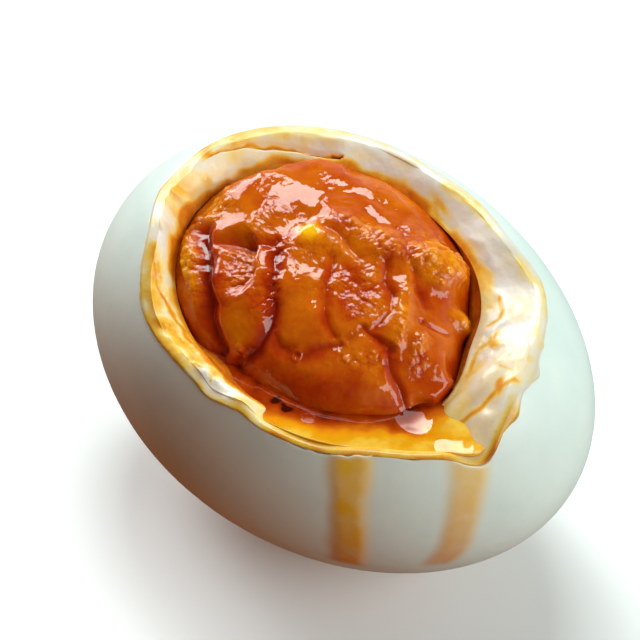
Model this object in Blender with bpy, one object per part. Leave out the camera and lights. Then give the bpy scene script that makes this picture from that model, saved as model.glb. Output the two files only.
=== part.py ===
"""A salted duck egg lying on its side, with its top broken away over the yolk.

Four solids: the shell, the white inside it, the cloven yolk, and the oil that stands in the low side of
the opening. Sizes are in millimetres and become metres where a mesh is made. +X is the egg's long axis,
+Z is up, and the origin is the middle of the small flat foot that the egg rests on.

Shapes are worked out in the opening's own frame, whose origin is the egg's centre: ALONG and ACROSS lie
in the plane of the opening and OUT points out of it. A bearing is an angle in that plane from ALONG
towards ACROSS.
"""

import itertools
import math

import bmesh
import bpy
import numpy as np

METRES = 0.001

EGG_HALF_LENGTH = 32.0
EGG_HALF_WIDTH = 23.3
EGG_TAPER = -0.03  # the -X end is the blunter one
FOOT_DEPTH = 0.15

SHELL_THICKNESS = 0.45
GAP = 0.35  # between two solids that touch in the real egg
WALL_GAP = 0.55  # between the white and the yolk, under the cup's lip

OPENING_ROLL = math.radians(17.0)  # about the long axis, towards -Y
OPENING_PITCH = math.radians(8.0)  # towards +X
EDGE_HEIGHT = 14.8

# Rises and dips of the broken edge: height, bearing in degrees, half width in degrees
EDGE_WAVES = (
    (1.2, -160, 14),
    (-0.5, -128, 11),
    (-0.4, -96, 5),
    (0.4, -82, 5),
    (0.6, -36, 12),
    (-1.4, -13, 5),
    (1.1, 3, 7),
    (0.7, 16, 7),
    (-1.3, 40, 10),
    (-0.7, 72, 14),
    (-1.4, 128, 34),
    (0.7, 176, 9),
)

YOLK_HALF_HEIGHT = 14.5
YOLK_LIFT = 3.0  # of its centre over the egg's, along OUT
YOLK_SQUARENESS_TOP = 2.8
YOLK_SQUARENESS_BASE = 2.2
RELIEF_FLOOR = 9.0  # height under which the yolk is smooth
RELIEF_FULL = 12.5
RELIEF_AT_LIP = 0.1  # how far the relief may stand out right beside the cup's lip
RELIEF_FOR_ROOM = 1.1  # and how much more for each millimetre of room, less the part kept free
ROOM_KEPT_FREE = 0.3

CLEFT_REACH = 1.5  # half widths from a cleft's middle to its brim
CLEFT_SHARPNESS = 1.3

# Clefts of the yolk: along and across points, half width, depth
CLEFTS = (
    (((-15.4, -3.2), (-13.0, -5.6), (-10.6, -8.2), (-8.0, -10.9), (-5.0, -12.9)), 1.0, 0.8),
    (((-13.2, -3.9), (-10.0, -2.0), (-7.2, -0.7), (-5.6, -1.8)), 0.8, 0.35),
    (((-6.3, -1.4), (-4.7, -3.2), (-2.4, -5.9), (-0.9, -8.4), (-1.1, -11.0), (-2.6, -13.6)), 0.9, 0.6),
    (((-0.9, -8.6), (1.6, -9.6), (4.0, -9.2), (5.4, -7.4), (6.6, -5.6)), 0.7, 0.30),
    (((-0.6, 1.8), (1.2, -1.4), (3.2, -4.2), (5.6, -5.2)), 0.7, 0.35),
    (((3.9, 5.2), (5.3, 3.1), (6.9, 2.2), (8.2, 1.0), (8.4, -1.2)), 0.5, 0.40),
    (((5.9, 6.8), (7.8, 5.2), (9.3, 4.8), (10.6, 4.1)), 0.5, 0.40),
    (((7.4, -3.0), (9.6, -2.4), (10.7, -2.7), (12.0, -3.8), (13.4, -4.9), (15.0, -5.8)), 0.5, 0.45),
    (((8.4, -1.2), (8.2, -2.6), (7.0, -4.4)), 0.6, 0.30),
    (((11.2, 2.4), (13.4, 3.2)), 0.4, 0.40),
    (((-3.6, 4.2), (-1.0, 4.4), (1.6, 3.6)), 0.6, 0.25),
)

# Lumps of the yolk: along, across, half length, half width, turn in degrees, height
LUMPS = (
    (-5.0, -8.8, 4.2, 2.8, -50, 0.6),
    (0.4, -4.2, 3.8, 2.6, -45, 0.4),
    (13.6, 6.2, 1.3, 1.0, -60, 0.9),
    (10.4, -8.4, 4.6, 2.8, 30, 0.5),
    (8.4, 2.2, 4.4, 1.3, -58, 0.5),
    (14.2, 0.4, 3.0, 2.6, -70, 0.5),
    (8.1, 9.2, 2.7, 2.4, 0, 1.5),
    (2.0, 6.6, 4.6, 1.6, 12, 0.45),
    (-4.9, 2.8, 2.2, 1.6, 0, 0.35),
    (-14.0, -7.0, 5.0, 1.2, -40, 0.6),
)

# Flatter plates of the yolk: along, across, half length, half width, turn in degrees, height over the egg's
# centre, slope along and across, and bend along and across for each millimetre
PLATES = (
    (-9.8, 5.4, 6.8, 4.6, 63, 16.40, 0.04, -0.15, 0.006, 0.006),
    (-9.7, -5.0, 3.8, 2.6, -49, 15.9, 0.05, -0.12, 0.010, 0.010),
    (14.6, -2.2, 2.6, 2.6, -40, 15.0, -0.42, 0.12, 0.020, 0.020),
    (-1.6, 9.4, 5.0, 2.6, 18, 16.0, 0.02, -0.42, 0.004, 0.010),
)
PLATE_INNER = 0.65  # shares of a plate's half sizes between which it meets the plain yolk
PLATE_OUTER = 1.25

CRAG_SIZE = 3.4
CRAG_HEIGHT = 0.28
CRAG_SEED = 7

# The cup that holds the yolk: an oval with swellings of this height, bearing and half width in degrees
CUP_HALF_LENGTH = 17.8
CUP_HALF_WIDTH = 14.2
CUP_WAVES = (
    (1.2, 125, 36),
    (0.9, 180, 26),
    (0.7, -142, 26),
    (0.9, -94, 28),
    (0.75, -54, 38),
    (0.4, 52, 18),
    (-0.8, 14, 12),
    (0.5, -24, 12),
)

# The moat between cup and yolk at the cup's lip: least width, and width, bearing and half width in degrees
MOAT_LEAST = 0.4
MOATS = (
    (2.5, 32, 24),
    (1.0, 2, 14),
    (1.3, -98, 26),
)

LIP_HEIGHT = 12.5  # of the cup's lip over the egg's centre
LIP_DIP = 1.2  # how much lower the lip is under the pool
LIP_DIP_BEARING = -58.0
LIP_DIP_SPREAD = 56.0
LIP_RISE = 2.6  # how far it stands up again beside the pool
LIP_RISE_BEARING = -91.0
LIP_RISE_SPREAD = 26.0
RIM_PROUD = 0.46  # of the white's outer edge over the shell's
POOL_PROUD_LOST = 0.8  # share of that height missing under the pool
RIM_FALL = 1.3  # power of the rim's fall towards the cup
POOL_FALL = 0.55  # the same where the oil stands, which is scooped out
POOL_BEARING = -45.0
POOL_HALF_SPREAD = 38.0
POOL_CALM = 0.6  # share of the rim's relief missing under the pool
LIP_CALM = 0.7  # and at the cup's lip
RELIEF_START = 0.05  # share of the way in from the outer edge where the relief is full
LIP_CALM_START = 0.85  # and where it grows less towards the lip

# Folds of the white's rim: along and across points, half width, height
FOLDS = (
    (((-21.6, -1.8), (-18.6, -1.2)), 0.45, 0.50),
    (((-21.4, -3.1), (-18.0, -2.9)), 0.40, 0.60),
    (((-21.3, -4.1), (-17.8, -4.7)), 0.40, 0.65),
    (((-20.8, -5.1), (-17.2, -6.6)), 0.45, 0.65),
    (((-18.6, -6.0), (-16.9, -8.0), (-15.2, -10.0), (-13.4, -11.4)), 0.80, 0.65),
    (((-17.4, -11.0), (-14.8, -13.2), (-12.6, -15.0)), 0.80, 0.55),
    (((-12.3, -14.8), (-10.6, -13.9)), 0.55, 0.45),
    (((-4.2, -16.2), (-1.2, -16.5)), 0.80, 0.45),
    (((0.6, -16.3), (4.2, -15.6)), 0.70, 0.40),
    (((20.8, 3.4), (20.0, -0.4), (19.0, -4.4)), 1.60, 0.70),
    (((22.2, 4.6), (23.6, 2.6)), 1.10, 0.50),
    (((23.4, -2.6), (23.8, -5.0)), 1.10, 0.65),
    (((14.8, 11.0), (16.8, 10.0), (17.5, 8.6), (16.9, 7.0), (16.0, 6.2)), 0.60, 0.20),
    (((18.6, 5.4), (19.8, 6.0), (20.9, 5.0), (20.5, 3.8), (19.2, 3.6)), 0.60, 0.22),
    (((8.1, 14.4), (9.9, 14.5), (12.6, 13.2)), 0.60, 0.16),
    (((4.0, 19.0), (10.0, 18.2), (15.0, 15.8)), 0.70, 0.35),
    (((-21.0, 8.0), (-17.0, 12.4), (-11.0, 15.6)), 0.70, 0.35),
)

# The crease that parts the rim's outer band from its inner one
CREASE = ((-21.9, 3.3), (-21.2, 5.9), (-19.5, 8.4), (-17.0, 10.4), (-14.5, 12.0), (-10.4, 14.0))
CREASE_DEPTH = 0.5
CREASE_HALF_WIDTH = 0.30

RIM_GRAIN_SIZE = 3.1
RIM_GRAIN_HEIGHT = 0.20
RIM_GRAIN_SEED = 51

OIL_LEVEL = 8.35  # over the egg's centre, straight up
OIL_BEARINGS = (-128, 8)
OIL_SECTIONS = 40
OIL_ACROSS = 6
OIL_DEEPEST = 2.6
OIL_THINNEST = 0.12
OIL_GAP = 0.6  # to the white, which has few faces there
OIL_SEARCH = 5.0  # how far inside the cup's lip the oil's inner edge is looked for

# Drips of oil down the shell: turn round the upright from +X at the top and at the bottom, half width there,
# the heights over the egg's centre between which they run, and thickness
DRIPS = (
    (-46.0, -46.0, 2.7, 2.6, 9.5, -11.6, 0.20),
    (-19.8, -25.5, 2.7, 1.9, 9.5, -9.6, 0.14),
)
DRIP_END = 3.0  # length over which a drip thins out at its foot
DRIP_CREST = 0.30  # shares of its half width between which it thins out to the side
DRIP_BRINK = 1.20

# Points round, rings and the share of the faces that is kept, for each solid
SHELL_SEGMENTS = 168
SHELL_RINGS = 44
SHELL_INNER_RINGS = 22
SHELL_KEPT = 0.15
WHITE_SEGMENTS = 200
WHITE_OUTER_RINGS = 20
WHITE_RIM_RINGS = 22
WHITE_WALL_RINGS = 16
WALL_CROWDING = 1.5  # power that draws the wall's rings towards the lip
WALL_BLEND = math.radians(20.0)  # angle over which the wall leaves the lip's own gap
WHITE_KEPT = 0.19
YOLK_SEGMENTS = 160
YOLK_TOP_RINGS = 42
YOLK_TOP_TURN = math.radians(72.0)  # polar angle where the finer rings of the dome end
YOLK_BASE_RINGS = 12
YOLK_KEPT = 0.30


def opening_frame():
    """ALONG, ACROSS and OUT as rows, in the egg's own axes."""
    out = np.array(
        (
            math.sin(OPENING_PITCH),
            -math.sin(OPENING_ROLL) * math.cos(OPENING_PITCH),
            math.cos(OPENING_ROLL) * math.cos(OPENING_PITCH),
        )
    )
    along = np.array((1.0, 0.0, 0.0)) - out * out[0]
    along /= np.linalg.norm(along)
    return np.array((along, np.cross(out, along), out))


FRAME = opening_frame()
STRAIGHT_UP = FRAME[:, 2]  # of the row, as seen in the opening's frame
CENTRE_HEIGHT = EGG_HALF_WIDTH - FOOT_DEPTH


def smoothstep(low, high, value):
    share = np.clip((value - low) / (high - low), 0.0, 1.0)
    return share * share * (3.0 - 2.0 * share)


def turned(degrees):
    """Unit vectors in the opening's plane at these bearings, as (along, across) arrays."""
    angle = np.radians(degrees)
    return np.cos(angle), np.sin(angle)


def bearing_gap(degrees, other):
    """How far apart two bearings are, from -180 to 180."""
    return (np.asarray(degrees) - other + 180.0) % 360.0 - 180.0


def lattice_value(corner, seed):
    """A fixed number from -1 to 1 for each whole-number corner of a lattice."""
    mixed = corner[..., 0] * 374761393 + corner[..., 1] * 668265263 + corner[..., 2] * 1442695041
    mixed = (mixed + seed * 97531) & 0xFFFFFFFF
    mixed = ((mixed ^ (mixed >> 13)) * 1274126177) & 0xFFFFFFFF
    return (mixed ^ (mixed >> 16)) / 2147483648.0 - 1.0


def smooth_noise(points, size, seed):
    """Smooth noise from -1 to 1 whose bumps are about that size."""
    scaled = np.asarray(points) / size
    corner = np.floor(scaled).astype(np.int64)
    share = smoothstep(0.0, 1.0, scaled - corner)
    total = np.zeros(scaled.shape[:-1])
    for step in itertools.product((0, 1), repeat=3):
        weight = np.where(step, share, 1.0 - share).prod(axis=-1)
        total += weight * lattice_value(corner + np.array(step), seed)
    return total


def oval_radius(degrees, half_length, half_width):
    """Radius of an ellipse at these bearings."""
    along, across = turned(degrees)
    return 1.0 / np.sqrt((along / half_length) ** 2 + (across / half_width) ** 2)


def direction(polar, degrees):
    """Unit vectors in the opening's frame: polar angle from OUT in radians, and bearing."""
    along, across = turned(degrees)
    polar = np.asarray(polar)
    return np.stack(
        np.broadcast_arrays(np.sin(polar) * along, np.sin(polar) * across, np.cos(polar)), -1
    )


def egg_reach(unit):
    """Distance from the egg's centre to its outer surface along these directions."""
    own = unit @ FRAME
    reach = np.full(own.shape[:-1], EGG_HALF_WIDTH)
    for _ in range(6):
        half_width = EGG_HALF_WIDTH * (1.0 + EGG_TAPER * reach * own[..., 0] / EGG_HALF_LENGTH)
        flat = (own[..., 0] / EGG_HALF_LENGTH) ** 2
        reach = 1.0 / np.sqrt(flat + (own[..., 1] ** 2 + own[..., 2] ** 2) / half_width**2)
    return reach


def edge_height(degrees):
    """Height of the shell's broken edge over the egg's centre, along OUT."""
    height = np.full(np.shape(degrees), EDGE_HEIGHT)
    for rise, bearing, spread in EDGE_WAVES:
        height = height + rise * np.exp(-((bearing_gap(degrees, bearing) / spread) ** 2))
    return height


def polar_at_height(degrees, height, inset):
    """Polar angle at which the egg's surface, moved in by inset, passes this height along OUT."""
    low, high = np.zeros(np.shape(degrees)), np.full(np.shape(degrees), math.pi / 2)
    for _ in range(40):
        middle = (low + high) / 2
        above = (egg_reach(direction(middle, degrees)) - inset) * np.cos(middle) > height
        low, high = np.where(above, middle, low), np.where(above, high, middle)
    return low


def distance_to_path(along, across, path):
    """Distance in the opening's plane from each point to a line of straight stretches."""
    nearest = np.full(np.shape(along), np.inf)
    for (x0, y0), (x1, y1) in itertools.pairwise(path):
        dx, dy = x1 - x0, y1 - y0
        share = np.clip(((along - x0) * dx + (across - y0) * dy) / (dx * dx + dy * dy), 0.0, 1.0)
        nearest = np.minimum(nearest, np.hypot(along - x0 - share * dx, across - y0 - share * dy))
    return nearest


def oval_place(along, across, x, y, half_length, half_width, turn):
    """Where a point is in a turned oval: shares of its half length and of its half width."""
    c, s = math.cos(math.radians(turn)), math.sin(math.radians(turn))
    run = ((along - x) * c + (across - y) * s) / half_length
    side = ((across - y) * c - (along - x) * s) / half_width
    return run, side


def oval_mounds(along, across, mounds):
    """Summed height of soft-edged oval mounds, each turned in the opening's plane."""
    height = np.zeros(np.shape(along))
    for *oval, rise in mounds:
        run, side = oval_place(along, across, *oval)
        height = height + rise * np.exp(-((run**2 + side**2) ** 1.5))
    return height


def swellings(degrees, waves):
    """Sum of bell-shaped waves, each a height, a bearing and a half width in degrees."""
    return sum(height * np.exp(-((bearing_gap(degrees, at) / half) ** 2)) for height, at, half in waves)


def cup_radius(degrees):
    """Distance from OUT's line to the lip of the cup that holds the yolk."""
    return oval_radius(degrees, CUP_HALF_LENGTH, CUP_HALF_WIDTH) + swellings(degrees, CUP_WAVES)


def fitting_height(degrees):
    """Height at which the yolk is fitted into its cup, lower under the pool."""
    return LIP_HEIGHT - LIP_DIP * np.exp(-((bearing_gap(degrees, LIP_DIP_BEARING) / LIP_DIP_SPREAD) ** 4))


def lip_height(degrees):
    """Height of the cup's lip: as the yolk's fit has it, and raised beside the pool."""
    rise = np.exp(-((bearing_gap(degrees, LIP_RISE_BEARING) / LIP_RISE_SPREAD) ** 4))
    return fitting_height(degrees) + LIP_RISE * rise


def yolk_radius(degrees):
    """The yolk's widest radius at these bearings, so that it keeps clear of the cup's lip."""
    moat = MOAT_LEAST + swellings(degrees, MOATS)
    lift = (fitting_height(degrees) - YOLK_LIFT) / YOLK_HALF_HEIGHT
    share_at_lip = (1.0 - lift**YOLK_SQUARENESS_TOP) ** (1.0 / YOLK_SQUARENESS_TOP)
    return (cup_radius(degrees) - moat) / share_at_lip


def yolk_base_reach(unit):
    """Distance from the yolk's centre to its surface along these directions, before its relief."""
    degrees = np.degrees(np.arctan2(unit[..., 1], unit[..., 0]))
    disc = np.hypot(unit[..., 0], unit[..., 1]) / yolk_radius(degrees)
    height = np.abs(unit[..., 2]) / YOLK_HALF_HEIGHT
    power = np.where(unit[..., 2] > 0, YOLK_SQUARENESS_TOP, YOLK_SQUARENESS_BASE)
    return (disc**power + height**power) ** (-1.0 / power)


def yolk_relief(points):
    """Height that lumps, plates, crags and clefts add at points of the plain yolk, from its centre."""
    along, across = points[..., 0], points[..., 1]
    relief = oval_mounds(along, across, LUMPS)
    for x, y, half_length, half_width, turn, top, slope_x, slope_y, bend_x, bend_y in PLATES:
        plane = top + slope_x * (along - x) + slope_y * (across - y)
        plane = plane - bend_x * (along - x) ** 2 - bend_y * (across - y) ** 2
        run, side = oval_place(along, across, x, y, half_length, half_width, turn)
        share = 1.0 - smoothstep(PLATE_INNER, PLATE_OUTER, (run**4 + side**4) ** 0.25)
        relief = relief + share * (plane - points[..., 2] - YOLK_LIFT - relief)
    relief = relief + CRAG_HEIGHT * smooth_noise(points, CRAG_SIZE, CRAG_SEED)
    for path, half_width, depth in CLEFTS:
        gap = distance_to_path(along, across, path) / half_width
        relief = relief - depth * np.clip(1.0 - gap / CLEFT_REACH, 0.0, 1.0) ** CLEFT_SHARPNESS
    return relief


def yolk_reach(unit):
    """Distance from the yolk's centre to its cloven surface along these directions."""
    reach = yolk_base_reach(unit)
    points = unit * reach[..., None]
    relief = yolk_relief(points) * smoothstep(RELIEF_FLOOR, RELIEF_FULL, points[..., 2] + YOLK_LIFT)
    degrees = np.degrees(np.arctan2(unit[..., 1], unit[..., 0]))
    room = cup_radius(degrees) - np.hypot(points[..., 0], points[..., 1])
    most = RELIEF_AT_LIP + RELIEF_FOR_ROOM * np.clip(room - ROOM_KEPT_FREE, 0.0, None)
    return reach + np.minimum(relief, most)


def wall_reach(unit):
    """Distance from the yolk's centre to the white's inner wall, which bridges the clefts."""
    return np.maximum(yolk_reach(unit), yolk_base_reach(unit)) + WALL_GAP


def pool_share(degrees):
    """1 where oil stands on the rim, 0 well away from it."""
    return np.exp(-((bearing_gap(degrees, POOL_BEARING) / POOL_HALF_SPREAD) ** 4))


def rim_relief(along, across):
    """Height that folds, the crease and grain add to the rim."""
    points = np.stack(np.broadcast_arrays(along, across, 0.0 * along), -1)
    height = RIM_GRAIN_HEIGHT * smooth_noise(points, RIM_GRAIN_SIZE, RIM_GRAIN_SEED)
    for path, half_width, rise in FOLDS:
        gap = distance_to_path(along, across, path) / half_width
        height = height + rise * np.exp(-(gap**2))
    gap = distance_to_path(along, across, CREASE) / CREASE_HALF_WIDTH
    return height - CREASE_DEPTH * np.exp(-(gap**2))


def rim_height(degrees, share):
    """Height of the white's rim from its outer edge, where share is 0, to the cup's lip."""
    pool = pool_share(degrees)
    outer = rim_outer_radius(degrees)
    radius = outer + (cup_radius(degrees) - outer) * share
    along, across = (part * radius for part in turned(degrees))
    top = edge_height(degrees) + RIM_PROUD * (1.0 - POOL_PROUD_LOST * pool)
    power = RIM_FALL + (POOL_FALL - RIM_FALL) * pool
    height = top - (top - lip_height(degrees)) * share**power
    fade = smoothstep(0.0, RELIEF_START, share) * (1.0 - POOL_CALM * pool)
    fade = fade * (1.0 - LIP_CALM * smoothstep(LIP_CALM_START, 1.0, share))
    return height + fade * rim_relief(along, across)


def rim_outer_radius(degrees):
    """Distance from OUT's line to the white's outer edge, just inside the shell."""
    inset = SHELL_THICKNESS + GAP
    polar = polar_at_height(degrees, edge_height(degrees) + RIM_PROUD, inset)
    return (egg_reach(direction(polar, degrees)) - inset) * np.sin(polar)


def in_opening_frame(radius, degrees, height):
    along, across = turned(degrees)
    return np.stack(np.broadcast_arrays(radius * along, radius * across, height), -1)


def drip_thickness(points):
    """Thickness of the oil that has run down the shell, at these points of its outer surface."""
    own = points @ FRAME
    lift = own[..., 2]
    turn = np.degrees(np.arctan2(own[..., 1], own[..., 0]))
    around = np.hypot(own[..., 0], own[..., 1])
    thickness = np.zeros(lift.shape)
    for start, end, half_start, half_end, highest, lowest, full in DRIPS:
        down = np.clip((highest - lift) / (highest - lowest), 0.0, 1.0)
        side = np.radians(turn - start - (end - start) * down) * around
        half_width = half_start + (half_end - half_start) * down
        share = 1.0 - smoothstep(DRIP_CREST, DRIP_BRINK, np.abs(side) / half_width)
        share = share * smoothstep(lowest, lowest + DRIP_END, lift)
        thickness = np.maximum(thickness, full * share**2)
    return thickness


def to_row(points):
    """Millimetres in the opening's frame to metres in the row's."""
    own = np.asarray(points) @ FRAME
    return (own + (0.0, 0.0, CENTRE_HEIGHT)) * METRES


def closed_object(name, first_pole, rings, last_pole, material):
    """An object whose surface runs from one pole through rings of equal count to the other pole."""
    bm = bmesh.new()
    poles = [bm.verts.new(to_row(pole)) for pole in (first_pole, last_pole)]
    loops = [[bm.verts.new(point) for point in to_row(ring)] for ring in rings]
    count = len(loops[0])
    for i in range(count):
        j = (i + 1) % count
        bm.faces.new((poles[0], loops[0][j], loops[0][i]))
        for lower, upper in itertools.pairwise(loops):
            bm.faces.new((lower[i], lower[j], upper[j], upper[i]))
        bm.faces.new((poles[1], loops[-1][i], loops[-1][j]))
    bmesh.ops.recalc_face_normals(bm, faces=bm.faces)
    mesh = bpy.data.meshes.new(name)
    bm.to_mesh(mesh)
    bm.free()
    mesh.shade_smooth()
    mesh.materials.append(material)
    obj = bpy.data.objects.new(name, mesh)
    bpy.context.scene.collection.objects.link(obj)
    return obj


def thin_out(obj, kept):
    """Keeps this share of the faces, most of them where the surface bends."""
    modifier = obj.modifiers.new("Fewer faces", "DECIMATE")
    modifier.ratio = kept


def food_material(name, colour, roughness):
    material = bpy.data.materials.new(name)
    material.use_nodes = True
    surface = material.node_tree.nodes["Principled BSDF"]
    surface.inputs["Base Color"].default_value = (*colour, 1.0)
    surface.inputs["Roughness"].default_value = roughness
    surface.inputs["Metallic"].default_value = 0.0
    return material


def bearings(count):
    return np.arange(count) * 360.0 / count


def add_shell():
    around = bearings(SHELL_SEGMENTS)
    edge = polar_at_height(around, edge_height(around), 0.0)
    rings = []
    for share in np.linspace(0.0, 1.0, SHELL_RINGS + 1)[1:]:
        polar = math.pi + (edge - math.pi) * share
        unit = direction(polar, around)
        points = unit * egg_reach(unit)[:, None]
        rings.append(points + unit * drip_thickness(points)[:, None])
    for share in np.linspace(1.0, 0.0, SHELL_INNER_RINGS + 1)[:-1]:
        unit = direction(math.pi + (edge - math.pi) * share, around)
        rings.append(unit * (egg_reach(unit) - SHELL_THICKNESS)[:, None])
    under = direction(math.pi, 0.0)
    poles = [under * (egg_reach(under) - inset) for inset in (0.0, SHELL_THICKNESS)]
    shell = closed_object("shell", poles[0], rings, poles[1], food_material("shell", (0.68, 0.80, 0.76), 0.4))
    thin_out(shell, SHELL_KEPT)
    cut_foot(shell)


def cut_foot(shell):
    """Cuts the small flat that the egg stands on."""
    side = 2 * EGG_HALF_WIDTH * METRES
    bm = bmesh.new()
    bmesh.ops.create_cube(bm, size=side)
    bmesh.ops.translate(bm, verts=bm.verts, vec=(0.0, 0.0, -side / 2))
    mesh = bpy.data.meshes.new("foot_cutter")
    bm.to_mesh(mesh)
    bm.free()
    cutter = bpy.data.objects.new("foot_cutter", mesh)
    cutter.hide_render = True
    cutter.display_type = "WIRE"
    bpy.context.scene.collection.objects.link(cutter)
    cut = shell.modifiers.new("Foot", "BOOLEAN")
    cut.operation = "DIFFERENCE"
    cut.solver = "EXACT"
    cut.object = cutter


def wall_rings(around):
    """The white's inner wall, from the cup's lip down round the yolk, with the bottom point."""
    centre = np.array((0.0, 0.0, YOLK_LIFT))
    lip = in_opening_frame(cup_radius(around), around, rim_height(around, 1.0)) - centre
    lip_reach = np.linalg.norm(lip, axis=-1)
    lip_polar = np.arccos(lip[:, 2] / lip_reach)
    lip_gap = lip_reach - wall_reach(direction(lip_polar, around))
    rings = []
    for share in (np.arange(WHITE_WALL_RINGS - 1) + 1) / WHITE_WALL_RINGS:
        polar = lip_polar + (math.pi - lip_polar) * share**WALL_CROWDING
        unit = direction(polar, around)
        apart = 1.0 - smoothstep(0.0, WALL_BLEND, polar - lip_polar)
        rings.append(centre + unit * (wall_reach(unit) + lip_gap * apart)[:, None])
    under = direction(math.pi, 0.0)
    return rings, centre + under * wall_reach(under)


def add_white():
    around = bearings(WHITE_SEGMENTS)
    inset = SHELL_THICKNESS + GAP
    edge = polar_at_height(around, edge_height(around) - RIM_PROUD, inset)
    rings = []
    for share in np.linspace(0.0, 1.0, WHITE_OUTER_RINGS + 1)[1:]:
        unit = direction(math.pi + (edge - math.pi) * share, around)
        rings.append(unit * (egg_reach(unit) - inset)[:, None])
    outer, inner = rim_outer_radius(around), cup_radius(around)
    for share in np.linspace(0.0, 1.0, WHITE_RIM_RINGS + 1):
        radius = outer + (inner - outer) * share
        rings.append(in_opening_frame(radius, around, rim_height(around, share)))
    walls, bottom = wall_rings(around)
    under = direction(math.pi, 0.0)
    top = under * (egg_reach(under) - inset)
    material = food_material("white", (0.90, 0.84, 0.68), 0.3)
    thin_out(closed_object("white", top, rings + walls, bottom, material), WHITE_KEPT)


def add_yolk():
    around = bearings(YOLK_SEGMENTS)
    centre = np.array((0.0, 0.0, YOLK_LIFT))
    # Equal steps over the dome, then longer ones round the hidden base
    polars = list(np.linspace(0.0, YOLK_TOP_TURN, YOLK_TOP_RINGS + 1)[1:])
    polars += list(np.linspace(YOLK_TOP_TURN, math.pi, YOLK_BASE_RINGS + 1)[1:-1])
    rings = []
    for polar in polars:
        unit = direction(polar, around)
        rings.append(centre + unit * yolk_reach(unit)[:, None])
    ends = [direction(polar, 0.0) for polar in (0.0, math.pi)]
    poles = [centre + unit * yolk_reach(unit) for unit in ends]
    material = food_material("yolk", (0.80, 0.26, 0.02), 0.25)
    thin_out(closed_object("yolk", poles[0], rings, poles[1], material), YOLK_KEPT)


def oil_height(radius, degrees):
    """Height along OUT of the oil's level surface, which lies flat whichever way the egg is turned."""
    flat = in_opening_frame(radius, degrees, 0.0) @ STRAIGHT_UP
    return (OIL_LEVEL - flat) / STRAIGHT_UP[2]


def yolk_clearance(point):
    """How far a point in the opening's frame is outside the yolk."""
    away = point - (0.0, 0.0, YOLK_LIFT)
    reach = np.linalg.norm(away)
    return reach - yolk_reach(away / reach)


def first_true(low, high, test, steps=60):
    """The first of evenly spaced values from low to high that passes the test, or None."""
    for value in np.linspace(low, high, steps):
        if test(value):
            return value
    return None


def oil_floor(radius, degrees):
    """Lowest height that the oil reaches at this radius, clear of the yolk and of the white."""
    level = float(oil_height(radius, degrees))
    outer, inner = float(rim_outer_radius(degrees)), float(cup_radius(degrees))
    if radius > inner - OIL_GAP:
        share = min(1.0, max(0.0, (outer - radius) / (outer - inner)))
        return float(rim_height(degrees, share)) + OIL_GAP
    blocked = first_true(
        level,
        level - OIL_DEEPEST,
        lambda height: yolk_clearance(in_opening_frame(radius, degrees, height)) < GAP,
    )
    return level - OIL_DEEPEST if blocked is None else blocked


def oil_section(degrees):
    """One cross-section of the oil as a loop of points, or None where there is too little of it."""
    outer, inner = float(rim_outer_radius(degrees)), float(cup_radius(degrees))
    start = first_true(
        inner - OIL_SEARCH,
        inner,
        lambda r: yolk_clearance(in_opening_frame(r, degrees, oil_height(r, degrees))) > GAP,
    )
    if start is None:
        return None
    if oil_height(inner, degrees) - oil_floor(inner, degrees) > OIL_THINNEST:
        end = first_true(
            inner,
            outer,
            lambda r: oil_height(r, degrees) - oil_floor(r, degrees) < OIL_THINNEST,
        )
        end = outer - GAP if end is None else end
    else:
        end = inner - OIL_GAP
    if end - start < 2 * OIL_THINNEST:
        return None
    radii = np.linspace(start, end, OIL_ACROSS)
    top = [in_opening_frame(r, degrees, oil_height(r, degrees)) for r in radii]
    floor = [
        min(oil_floor(r, degrees), float(oil_height(r, degrees)) - OIL_THINNEST)
        for r in radii[1:-1]
    ]
    base = [in_opening_frame(r, degrees, h) for r, h in zip(radii[1:-1], floor)]
    return np.array(top + base[::-1])


def add_oil():
    sections = [oil_section(b) for b in np.linspace(*OIL_BEARINGS, OIL_SECTIONS)]
    sections = [section for section in sections if section is not None]
    ends = [section.mean(axis=0) for section in (sections[0], sections[-1])]
    material = food_material("oil", (0.75, 0.30, 0.02), 0.08)
    closed_object("oil", ends[0], sections, ends[1], material)


def main():
    for obj in list(bpy.data.objects):
        bpy.data.objects.remove(obj)
    add_shell()
    add_white()
    add_yolk()
    add_oil()


main()
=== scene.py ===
"""The looks of a salted duck egg whose top is broken away: shell, white, yolk and the oil round it.

Shapes are worked out in millimetres in the opening's own frame, as in the frame's solids: its origin is the
egg's centre, ALONG and ACROSS lie in the plane of the opening and OUT points out of it. A bearing is an
angle in that plane from ALONG towards ACROSS. Every piece stands where its solid stands. In the tables, a
wave is an amount, a bearing and a half width in degrees. An oval is along, across, half length, half width
and turn in degrees. A path is points along and across.
"""

import itertools
import math

import bpy
import numpy as np
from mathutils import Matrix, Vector


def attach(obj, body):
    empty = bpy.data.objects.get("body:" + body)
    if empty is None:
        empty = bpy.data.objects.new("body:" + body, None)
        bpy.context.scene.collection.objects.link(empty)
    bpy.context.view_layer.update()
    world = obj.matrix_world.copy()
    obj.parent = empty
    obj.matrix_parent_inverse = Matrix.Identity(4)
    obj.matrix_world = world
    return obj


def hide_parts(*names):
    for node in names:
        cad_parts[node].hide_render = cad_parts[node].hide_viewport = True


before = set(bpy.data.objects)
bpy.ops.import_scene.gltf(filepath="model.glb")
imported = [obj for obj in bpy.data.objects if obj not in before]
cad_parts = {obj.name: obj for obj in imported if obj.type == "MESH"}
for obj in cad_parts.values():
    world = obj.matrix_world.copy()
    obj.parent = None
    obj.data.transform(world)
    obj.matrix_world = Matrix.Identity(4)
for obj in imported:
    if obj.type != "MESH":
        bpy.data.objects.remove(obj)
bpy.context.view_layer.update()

METRES = 0.001
DETAIL = 1.0

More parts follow.
